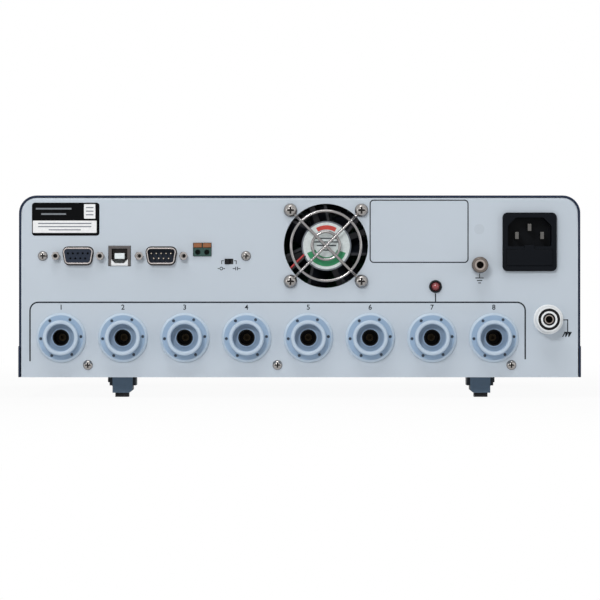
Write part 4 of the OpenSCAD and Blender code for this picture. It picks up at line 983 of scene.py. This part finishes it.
class DressFan(bpy.types.Operator):
    """Finishes the fan and guard, and adds the hub's label and the fan's lead."""

    bl_idname = "tester.dress_fan"
    bl_label = "Fan"

    def execute(self, context):
        sizes = context.scene.tester_sizes
        plastic = made_once("fan moulding", moulding, linear(11, 12, 16), 0.5, gloss=0.15)
        rotor = made_once("rotor moulding", moulding, linear(20, 23, 30), 0.4, gloss=0.3)
        wire = made_once("guard wire", plating, (0.29, 0.28, 0.28), 0.12, grain_scale=2400, dull=0.9)
        hub = middle("fan_rotor")
        half_pitch = 20 * MM
        heads = [(hub.x + x * half_pitch, hub.z + z * half_pitch) for x in SIDES for z in SIDES]
        top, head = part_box("fan_screws")[0].y, 7.2 * MM
        screw = made_once("fan screw zinc", screw_plating, SCREW_ZINC, heads, top, head)
        dress("fan_frame", plastic, 0.2 * MM)
        dress("fan_rotor", rotor)
        dress("fan_guard", wire)
        dress("fan_screws", screw, sizes.small_edge)
        self.label(sizes)
        self.lead(sizes)
        return {"FINISHED"}

    def label(self, sizes):
        """Plain round label: a pale field, a green band, a red band and rules."""
        hub = middle("fan_rotor")
        x, z = hub.x / MM, hub.z / MM
        sunk = REAR_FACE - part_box("fan_frame")[0].y
        paper, ink = 0.12 * MM, sizes.ink
        field = disc(x, z, 13.2)
        green = band(x, z, 11.6, 6.4, 200, 340, 24)
        red = band(x, z, 11.6, 9.2, 60, 120, 14)
        rules = [bar(x, z + up, wide, 0.7) for up, wide in ((4.2, 13), (2.2, 15), (0.2, 11), (-2.4, 6))]
        layers = (
            ("fan_label", [field], "label field", (214, 222, 222), 0, paper),
            ("fan_label_edge", [disc(x, z, 14.0), field], "label edge", (112, 118, 126), 0, paper),
            ("fan_label_green", [green], "label green", (58, 142, 98), paper, ink),
            ("fan_label_red", [red], "label red", (196, 74, 66), paper, ink),
            ("fan_label_rules", rules, "label ink", (52, 60, 66), paper, ink),
        )
        for name, loops, print_name, colour, lift, thick in layers:
            material = made_once(print_name, print_ink, linear(*colour))
            lay(cut_sheet(loops, thick), name, material, "rear", sunk + lift, thick, "case")

    def lead(self, sizes):
        """Two wires that leave the hub's edge and go in at the frame."""
        hub = middle("fan_rotor")
        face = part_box("fan_frame")[0].y
        rise, half_gap = 6.8, 0.37 * sizes.lead
        run = ((-12.2, 0.3), (-13.4, -0.62), (-15.4, -0.62), (-17.5, -0.62), (-19.6, -0.6), (-20.4, 0.5))
        for name, side, colour in (("red", 1, linear(186, 58, 60)), ("black", -1, linear(24, 24, 28))):
            sleeve = fine_moulding(f"lead {name}", colour, 0.4, grain_scale=3000, depth=0.02)
            offset = side * half_gap
            points = []
            for along, depth in run:
                x, z = along * MM - offset, (along + rise) * MM + offset
                points.append((hub.x + x, face + depth * MM, hub.z + z))
            settle(tube(points, sizes.lead), f"fan_lead_{name}", sleeve, "case")


class DressPorts(bpy.types.Operator):
    """Finishes the D ports, USB port, interlock terminal, selector and their board."""

    bl_idname = "tester.dress_ports"
    bl_label = "Ports"

    def execute(self, context):
        colours = context.scene.tester_colours
        sizes = context.scene.tester_sizes
        usb_place, usb_face = middle("usb_shell"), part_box("usb_shell")[0].y
        lever = made_once("lever moulding", moulding, colours.lever, 0.42)
        bevelled = {
            "port_shells": made_once("shell plating", shell_plating, (0.5, 0.46, 0.45), 0.26, REAR_FACE),
            "port_jackscrews": self.jack_finish(),
            "usb_shell": made_once("usb plating", socket_shell, (0.13, 0.12, 0.12), usb_place, usb_face),
            "usb_tongue": made_once("tongue moulding", moulding, linear(232, 240, 242), 0.4),
            "interlock_header": made_once("header moulding", moulding, colours.header, 0.42),
            "interlock_lever_left": lever,
            "interlock_lever_right": lever,
            "selector_slider": black_moulding(),
        }
        insert = made_once("port insert moulding", moulding, linear(26, 36, 52), 0.45, gloss=0.2)
        dress_all(bevelled, sizes.small_edge)
        dress("port_inserts", insert, sizes.small_edge, 1)
        dress("port_pins", made_once("pin gold", plating, (0.5, 0.46, 0.38), 0.25))
        dress("io_board", board_finish("port board", "io_board", (0.02, 0.02, 0.02)))
        return {"FINISHED"}

    def jack_finish(self):
        """Plating of the four jack screws, round their threaded bores."""
        low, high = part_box("port_jackscrews")
        hexagon, pitch = high.z - low.z, 25 * MM
        first, last = low.x + hexagon / 2, high.x - hexagon / 2
        row = middle("port_shells").z
        posts = [(x, row) for x in (first, first + pitch, last - pitch, last)]
        nickel, bore, chamfer = (0.42, 0.395, 0.385), 1.1 * MM, 2.3 * MM
        return made_once("jack plating", bored_plating, nickel, 0.16, posts, bore, chamfer)


class DressTerminals(bpy.types.Operator):
    """Finishes the lamp, the ground post and the return terminal."""

    bl_idname = "tester.dress_terminals"
    bl_label = "Lamp and terminals"

    def execute(self, context):
        colours = context.scene.tester_colours
        sizes = context.scene.tester_sizes
        pale = linear(236, 239, 241)
        white = fine_moulding("terminal moulding", pale, 0.34, grain_scale=3000, depth=0.04)
        nickel, bore = (0.4, 0.35, 0.32), 2.02 * MM
        ground, back = middle("ground_post"), middle("return_jack")
        ground_axis, back_axis = [(ground.x, ground.z)], [(back.x, back.z)]
        low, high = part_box("indicator_lens")
        tip = (low + high) / 2
        tip.y = low.y
        bevelled = {
            "indicator_bezel": black_moulding(),
            "return_insulator": black_moulding(),
            "ground_post": made_once("post plating", bored_plating, nickel, 0.2, ground_axis, bore, 3.1 * MM),
            "return_jack": made_once("return plating", bored_plating, nickel, 0.26, back_axis, bore, 9 * MM),
        }
        dress_all(bevelled, sizes.small_edge)
        dress("indicator_lens", made_once("lamp lens", lamp_lens, colours.lamp, tip, (high.x - low.x) / 2))
        dress("return_nut", white, sizes.moulded_edge)
        return {"FINISHED"}


class PrintRearPanel(bpy.types.Operator):
    """Prints the rear panel: lines, channel numerals and symbols, and sticks its label on."""

    bl_idname = "tester.print_rear_panel"
    bl_label = "Rear legends"

    def execute(self, context):
        colours = context.scene.tester_colours
        self.sizes = context.scene.tester_sizes
        self.ink = made_once("panel ink", print_ink, colours.ink)
        self.lines()
        self.symbols()
        self.numerals()
        self.label()
        self.stud(colours)
        return {"FINISHED"}

    def printed(self, name, loops, material=None, lift=0.0, thick=None):
        thick = thick or self.sizes.ink
        sheet = cut_sheet(loops, thick)
        lay(sheet, name, material or self.ink, "rear", lift, thick, "case")

    def lines(self):
        """Frame round the sockets, the lamp's lead line and an empty box."""
        left, right, top, radius = -151.8, 127.0, 53.7, 4.6
        left_end, right_end = 20.5, 21.6
        lead_from, lead_to = top + 0.4, 58.7
        path = [(left, left_end)]
        path += arc(left + radius, top - radius, radius, 180, 90)
        path += arc(right - radius, top - radius, radius, 90, 0)
        path += [(right, right_end)]
        thin = self.sizes.thin_line / MM
        lamp = middle("indicator_lens").x / MM
        lead = bar(lamp, (lead_from + lead_to) / 2, thin, lead_to - lead_from)
        self.printed("socket_frame_line", [stroke(path, self.sizes.frame_line / MM)])
        self.printed("lamp_lead_line", [lead])
        self.printed("notice_box_line", outline(67.25, 93.7, 55.1, 35.0, 2.0, thin))

    def symbols(self):
        """Earth, chassis and selector marks."""
        ground = middle("ground_post").x / MM
        earth = [bar(ground, 68.6, 0.45, 2.4)]
        earth += [bar(ground, up, wide, 0.55) for up, wide in ((67.4, 4.7), (66.0, 3.0), (64.6, 1.5))]
        chassis = [stroke([(148.4, 43.8), (150.9, 43.8), (150.9, 37.1)], 0.6), bar(151.0, 36.8, 4.2, 0.6)]
        chassis += [stroke([(x, 36.5), (x - 1.4, 34.2)], 0.5) for x in (149.4, 151.1, 152.8)]
        slot = middle("selector_slider").x / MM + 1.0
        ring, plates, row, line = slot - 4.3, slot + 4.3, 72.7, 0.45
        marks = []
        for side in SIDES:
            near, far = slot + side * 2.9, slot + side * 4.1
            marks.append(stroke([(near, 77.1), (far, 77.1), (far, 75.2)], line))
        marks += [disc(ring, row, 1.0), disc(ring, row, 0.55)]
        marks += [bar(ring + side * 1.6, row, 0.9, line) for side in SIDES]
        marks += [bar(plates + side * 0.5, row, line, 2.0) for side in SIDES]
        marks += [bar(plates + side * 1.5, row, 1.4, line) for side in SIDES]
        self.printed("earth_symbol", earth)
        self.printed("chassis_symbol", chassis)
        self.printed("selector_marks", marks)

    def numerals(self):
        """One numeral above each socket."""
        height, row = self.sizes.numeral / MM, 50.8
        words = [(str(n), middle(f"hv_socket_{n}").x / MM, row, height) for n in CHANNELS]
        ink = self.sizes.ink
        lay(set_type(words, ink, 0.07), "channel_numerals", self.ink, "rear", 0, ink, "case")

    def label(self):
        """Black plate with a white field, a small square and plain rules."""
        plate = made_once("label black", print_ink, linear(7, 8, 10), 0.04)
        white = made_once("label white", print_ink, linear(236, 238, 240))
        grey = made_once("label grey", print_ink, linear(120, 126, 132))
        film, ink = 0.1 * MM, self.sizes.ink
        field, square, lines = -132.25, -118.2, -138.5
        self.printed("rating_label", [rounded(-131.7, 100.5, 38.0, 18.6, 1.7)], plate, 0, film)
        self.printed("rating_label_field", [rounded(field, 96.25, 35.9, 6.9, 0.4)], white, film, ink)
        self.printed("rating_label_square", [rounded(square, 104.9, 6.4, 8.2, 0.4)], white, film, ink)
        rules = [bar(field, up, wide, 0.6) for up, wide in ((98.1, 30), (96.3, 30), (94.5, 18))]
        rules += [bar(square, up, 4.2, 0.6) for up in (107.0, 105.0, 103.0)]
        rules += [bar(lines, up, wide, 0.9) for up, wide in ((106.4, 20), (103.4, 14))]
        self.printed("rating_label_rules", rules, grey, film + ink, ink)

    def stud(self, colours):
        """The flush head of a pressed-in stud, under the coat."""
        coat = panel_coat("stud powder coat", shade(colours.panel, 0.93))
        self.printed("stud_mark", [disc(101.1, 94.9, 2.9)], coat, 0, 0.06 * MM)


class DressFront(bpy.types.Operator):
    """Finishes the front: bezel, overlay, display, keys and knob."""

    bl_idname = "tester.dress_front"
    bl_label = "Front"

    def execute(self, context):
        colours = context.scene.tester_colours
        self.sizes = context.scene.tester_sizes
        overlay = made_once(
            "overlay sheet", powder_coat, colours.overlay, roughness=0.42, grain_scale=2200, depth=0.08
        )
        keys = made_once("key moulding", moulding, linear(150, 161, 170), 0.48)
        dark = made_once("dark key moulding", moulding, linear(62, 71, 82), 0.46)
        knob = made_once("knob moulding", moulding, linear(70, 79, 90), 0.5)
        start = made_once("start moulding", moulding, colours.start, 0.38)
        stop = made_once("stop moulding", moulding, colours.stop, 0.38)
        no_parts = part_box("front_bezel")[1].z
        board = made_once("front board", circuit_board, (0.02, 0.1, 0.05), (0.03, 0.03, 0.035), no_parts)
        key_edge, button_edge = 0.6 * MM, 0.5 * MM
        dress("front_bezel", made_once("bezel moulding", moulding, colours.bezel, 0.45), 1.6 * MM, 4)
        dress("front_panel", overlay, self.sizes.sheet_edge, 1)
        dress("display_module", board)
        for number in SOFT_KEYS:
            dress(f"softkey_{number}", keys, key_edge, 3)
        dress("power_button", dark, key_edge, 3)
        dress_all({"start_button": start, "stop_button": stop}, button_edge, 3)
        dress("adjust_knob", knob, 0.3 * MM)
        self.overlay_print(colours)
        self.window()
        self.picture()
        self.key_marks()
        return {"FINISHED"}

    def front_middle(self, node):
        """Middle of a node in the view from the front, in millimetres: right and up."""
        spot = middle(node)
        return -spot.x / MM, spot.z / MM

    def layer(self, name, loops, material, lift, thick, body="case", slot="front_plate"):
        lay(cut_sheet(loops, thick), name, material, "front", lift, thick, body)

    def overlay_print(self, colours):
        """Dark field round the display and soft keys, rings round the buttons and the knob's scale."""
        field_ink = made_once("overlay block", print_ink, colours.block)
        ink = made_once("overlay ink", print_ink, shade(colours.block, 0.8))
        accent = made_once("overlay accent", print_ink, linear(92, 128, 166))
        thick = self.sizes.ink
        u, v = self.front_middle("display_window")
        low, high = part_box("display_window")
        wide, tall = (high.x - low.x) / MM, (high.z - low.z) / MM
        left, right = u - wide / 2 - 6, self.front_middle("softkey_1")[0] + 10.5
        field = [
            rounded((left + right) / 2, v, right - left, tall + 10, 4),
            rounded(u, v, wide + 0.6, tall + 0.6, 3),
        ]
        field += [rounded(*self.front_middle(f"softkey_{n}"), 13.7, 8.7, 1.8) for n in SOFT_KEYS]
        self.layer("overlay_field", field, field_ink, 0, thick)
        knob = self.front_middle("adjust_knob")
        turns = [225 - 27 * step for step in range(11)]
        rings = []
        for node in ("start_button", "stop_button"):
            rings += [disc(*self.front_middle(node), radius) for radius in (13.0, 12.3)]
        for step, turn in enumerate(turns):
            near, far = (18.4, 21.6) if step % 5 == 0 else (18.8, 20.8)
            rings.append(stroke([around(*knob, near, turn), around(*knob, far, turn)], 0.5))
        self.layer("overlay_rings", rings, ink, 0, thick)
        rule_from, rule_to = right + 8, self.front_middle("start_button")[0] + 14
        rule = rounded((rule_from + rule_to) / 2, 33.5, rule_to - rule_from, 1.6, 0.7)
        self.layer("overlay_accent", [rule], accent, 0, thick)
        words = [(str(step), *around(*knob, 24.2, turns[step]), 3.2) for step in (0, 5, 10)]
        scale = set_type(words, thick, 0.06)
        lay(scale, "knob_scale_numerals", ink, "front", 0, thick, "case")

    def window(self):
        """Clear window with rounded corners and a polished edge, leaving room for the picture behind it."""
        low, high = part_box("display_window")
        depth, corner, polish = 1.6 * MM, 3 * MM, 0.4 * MM
        pane = block((low.x, high.y - depth, low.z), high)
        bevel_edges(pane, lambda start, end: abs(start.y - end.y) > depth / 2, corner, 8)
        deselect("FACE")
        for face in pane.data.polygons:
            face.select = face.normal.y > 0.9
        bpy.ops.object.mode_set(mode="EDIT")
        bpy.ops.mesh.inset(thickness=polish, depth=0)
        bpy.ops.object.mode_set(mode="OBJECT")
        clear = made_once("display window", clear_sheet, (0.02, 0.03, 0.04))
        settle(pane, "display_pane", clear, "case")
        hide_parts("display_window")

    def picture(self):
        """What the display shows: a header, three readings, a progress bar and eight channels."""
        u, v = self.front_middle("display_window")
        low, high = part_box("display_window")
        thick, slot = 0.1 * MM, "front_electronics"
        first = low.y - high.y
        second, third = first + thick, first + 2 * thick
        channel_row, progress_row, pitch, lit_channels = v - 20, v - 9.2, 11.4, 3
        field = rounded(u, v, 95, 55, 0.8)
        chosen, others, words = [], [], []
        for number in CHANNELS:
            across = u + (number - 4.5) * pitch
            if number <= lit_channels:
                chosen.append(rounded(across, channel_row, 9.4, 8.4, 0.8))
            else:
                others += outline(across, channel_row, 9.0, 8.0, 0.8, 0.4)
            words.append((str(number), across, channel_row, 4.2))
        chosen.append(bar(u - 17, progress_row, 54, 3))
        others += outline(u, progress_row, 89, 4, 0.6, 0.4)
        others += [bar(u + 4, v + 7, 0.4, 20)]
        words += [("5.00", u - 22, v + 6.4, 13), ("0.15", u + 25, v + 8.4, 9), ("12.0", u + 25, v - 2, 4)]
        border = made_once("screen border", print_ink, linear(9, 11, 15))
        edge = [rounded(u, v, 99.6, 59.6, 2.8), field]
        self.layer("screen_border", edge, border, first, thick, slot=slot)
        lit = (
            ("field", (16, 30, 56), [field], first),
            ("header", (46, 98, 156), [bar(u, v + 23.4, 93, 6.4)], second),
            ("green", (74, 176, 104), chosen, second),
            ("grey", (84, 102, 126), others, second),
        )
        for name, colour, loops, lift in lit:
            area = made_once(f"screen {name}", lit_ink, linear(*colour))
            self.layer(f"screen_{name}", loops, area, lift, thick, slot=slot)
        pale = made_once("screen numerals", lit_ink, linear(226, 236, 242))
        lay(set_type(words, thick), "screen_numerals", pale, "front", third, thick, "case")

    def key_marks(self):
        """Marks on the caps of the keys, buttons and knob."""
        pale = made_once("key mark", print_ink, linear(236, 240, 242))
        dark = made_once("key mark dark", print_ink, linear(40, 48, 58))

        def mark(name, node, body, loops, material, slot):
            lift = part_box(node)[1].y - FRONT_FACE
            self.layer(name, loops, material, lift, self.sizes.ink, body, slot)

        for number in SOFT_KEYS:
            key = f"softkey_{number}"
            dash = rounded(*self.front_middle(key), 5.6, 1.0, 0.4)
            mark(f"{key}_mark", key, f"key_{number}", [dash], dark, "key_grey")
        u, v = self.front_middle("start_button")
        triangle = [(u - 2.6, v - 3.4), (u + 3.8, v), (u - 2.6, v + 3.4)]
        mark("start_mark", "start_button", "start_key", [triangle], pale, "button_green")
        square = rounded(*self.front_middle("stop_button"), 6.0, 6.0, 0.5)
        mark("stop_mark", "stop_button", "stop_key", [square], pale, "button_red")
        u, v = self.front_middle("power_button")
        broken_ring = [band(u, v, 3.3, 2.6, 130, 410, 30), bar(u, v + 2.4, 0.7, 3.4)]
        mark("power_mark", "power_button", "power_key", broken_ring, pale, "button_dark")
        u, v = self.front_middle("adjust_knob")
        mark("knob_pointer", "adjust_knob", "knob", [rounded(u, v + 9.4, 1.4, 6.4, 0.6)], pale, "knob_grey")


class DressInside(bpy.types.Operator):
    """Finishes the boards and the transformer inside the case."""

    bl_idname = "tester.dress_inside"
    bl_label = "Inside"

    def execute(self, context):
        dress("main_board", board_finish("main board", "main_board", (0.05, 0.05, 0.055)))
        dress("relay_board", board_finish("relay board", "relay_board", (0.02, 0.02, 0.022)))
        low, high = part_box("hv_transformer")
        winding = 12 * MM
        half, centre = (high.y - low.y) / 2 - winding, (low.y + high.y) / 2
        iron, tape = (0.32, 0.33, 0.35), linear(198, 160, 60)
        dress("hv_transformer", made_once("transformer core", wound_core, iron, tape, half, centre))
        return {"FINISHED"}


class SetStage(bpy.types.Operator):
    """Sets the floor, the lights, the white surround and the camera."""

    bl_idname = "tester.set_stage"
    bl_label = "Studio"

    def execute(self, context):
        studio = context.scene.tester_studio
        self.floor()
        self.surround(context.scene, studio)
        panel, feet, controls = (0, -0.2, 0.06), (0, -0.1, 0.03), (0, 0.2, 0.06)
        self.lamp("key light", (-0.5, -2.2, 0.95), panel, 0.4, studio.key_power)
        self.lamp("top light", (-0.15, -1.1, 1.9), panel, 1.0, studio.top_power)
        self.lamp("left fill", (-1.6, -1.3, 0.25), feet, 1.0, studio.fill_power)
        self.lamp("right fill", (1.6, -1.3, 0.25), feet, 1.0, studio.fill_power)
        self.lamp("front light", (0.5, 1.7, 1.1), controls, 1.3, studio.front_power)
        self.camera(context.scene, studio)
        context.scene.view_settings.view_transform = "Standard"
        return {"FINISHED"}

    def floor(self):
        """A pale card that shows white, with a share of its shading near the object."""
        bpy.ops.object.select_all(action="DESELECT")
        bpy.ops.mesh.primitive_plane_add(size=24, location=(0, 0, -0.1 * MM))
        ground = bpy.context.object
        ground.name = "floor"
        pale = Finish("floor card")
        tone = pale.mix(pale.noise(30, 3), (0.86, 0.86, 0.86), (0.9, 0.9, 0.9))
        card = pale.node("ShaderNodeBsdfDiffuse", {}, {"Color": tone})["BSDF"]
        white = pale.node("ShaderNodeEmission", {}, {"Color": (1, 1, 1, 1), "Strength": 1.0})["Emission"]
        shading, near, far = 0.07, 0.3, 1.3
        distant = pale.ramp(pale.from_point((0, 0, 0)), near, far)
        shown = (1 - shading + shading * distant) * pale.seen_directly()
        mixed = pale.node("ShaderNodeMixShader", {}, {0: shown, 1: card, 2: white})[0]
        pale.node("ShaderNodeOutputMaterial", {}, {"Surface": mixed})
        ground.data.materials.append(pale.material)

    def surround(self, scene, studio):
        """A dim light from all round that shows as white."""
        world = bpy.data.worlds.new("studio surround")
        world.use_nodes = True
        scene.world = world
        sky = Nodes(world.node_tree)
        dim, white = (
            sky.node("ShaderNodeBackground", {}, {"Color": (1, 1, 1, 1), "Strength": strength})["Background"]
            for strength in (studio.ambient, 1.0)
        )
        mixed = sky.node("ShaderNodeMixShader", {}, {0: sky.seen_directly(), 1: dim, 2: white})[0]
        sky.node("ShaderNodeOutputWorld", {}, {"Surface": mixed})

    def lamp(self, name, place, target, size, watts):
        bpy.ops.object.select_all(action="DESELECT")
        bpy.ops.object.light_add(type="AREA", location=place)
        light = bpy.context.object
        light.name = name
        aim = light.location.copy()
        for axis in range(3):
            aim[axis] = target[axis] - place[axis]
        light.rotation_euler = aim.to_track_quat("-Z", "Y").to_euler()
        light.data.size = size
        light.data.energy = watts

    def camera(self, scene, studio):
        """A long lens, level, straight before the rear panel."""
        bpy.ops.object.select_all(action="DESELECT")
        spot = (0.2 * MM, REAR_FACE - studio.camera_distance, studio.camera_height)
        bpy.ops.object.camera_add(location=spot, rotation=(math.pi / 2, 0, 0))
        camera = bpy.context.object
        camera.data.sensor_width = SENSOR_WIDTH
        camera.data.lens = SENSOR_WIDTH * studio.camera_distance / studio.view_width
        camera.data.clip_end = 100
        scene.camera = camera


class TesterPanel(bpy.types.Panel):
    """Lists the tester's steps, colours and sizes in the sidebar."""

    bl_idname = "VIEW3D_PT_tester"
    bl_label = "Hipot tester"
    bl_space_type = "VIEW_3D"
    bl_region_type = "UI"
    bl_category = "Hipot tester"

    def draw(self, context):
        layout = self.layout
        for step in STEPS:
            layout.operator(step.bl_idname)
        for group in (context.scene.tester_colours, context.scene.tester_sizes, context.scene.tester_studio):
            box = layout.box()
            for name in group.__annotations__:
                box.prop(group, name)


GROUPS = {"tester_colours": TesterColours, "tester_sizes": TesterSizes, "tester_studio": TesterStudio}
STEPS = (
    DressCase,
    DressSockets,
    DressMains,
    DressFan,
    DressPorts,
    DressTerminals,
    PrintRearPanel,
    DressFront,
    DressInside,
    SetStage,
)


def register():
    for group in GROUPS.values():
        bpy.utils.register_class(group)
    for name, group in GROUPS.items():
        setattr(bpy.types.Scene, name, bpy.props.PointerProperty(type=group))
    for step in STEPS:
        bpy.utils.register_class(step)
    bpy.utils.register_class(TesterPanel)


def unregister():
    bpy.utils.unregister_class(TesterPanel)
    for step in reversed(STEPS):
        bpy.utils.unregister_class(step)
    for name in GROUPS:
        delattr(bpy.types.Scene, name)
    for group in reversed(GROUPS.values()):
        bpy.utils.unregister_class(group)


def main():
    register()
    bpy.ops.tester.dress_case()
    bpy.ops.tester.dress_sockets()
    bpy.ops.tester.dress_mains()
    bpy.ops.tester.dress_fan()
    bpy.ops.tester.dress_ports()
    bpy.ops.tester.dress_terminals()
    bpy.ops.tester.print_rear_panel()
    bpy.ops.tester.dress_front()
    bpy.ops.tester.dress_inside()
    bpy.ops.tester.set_stage()


if __name__ == "__main__":
    main()
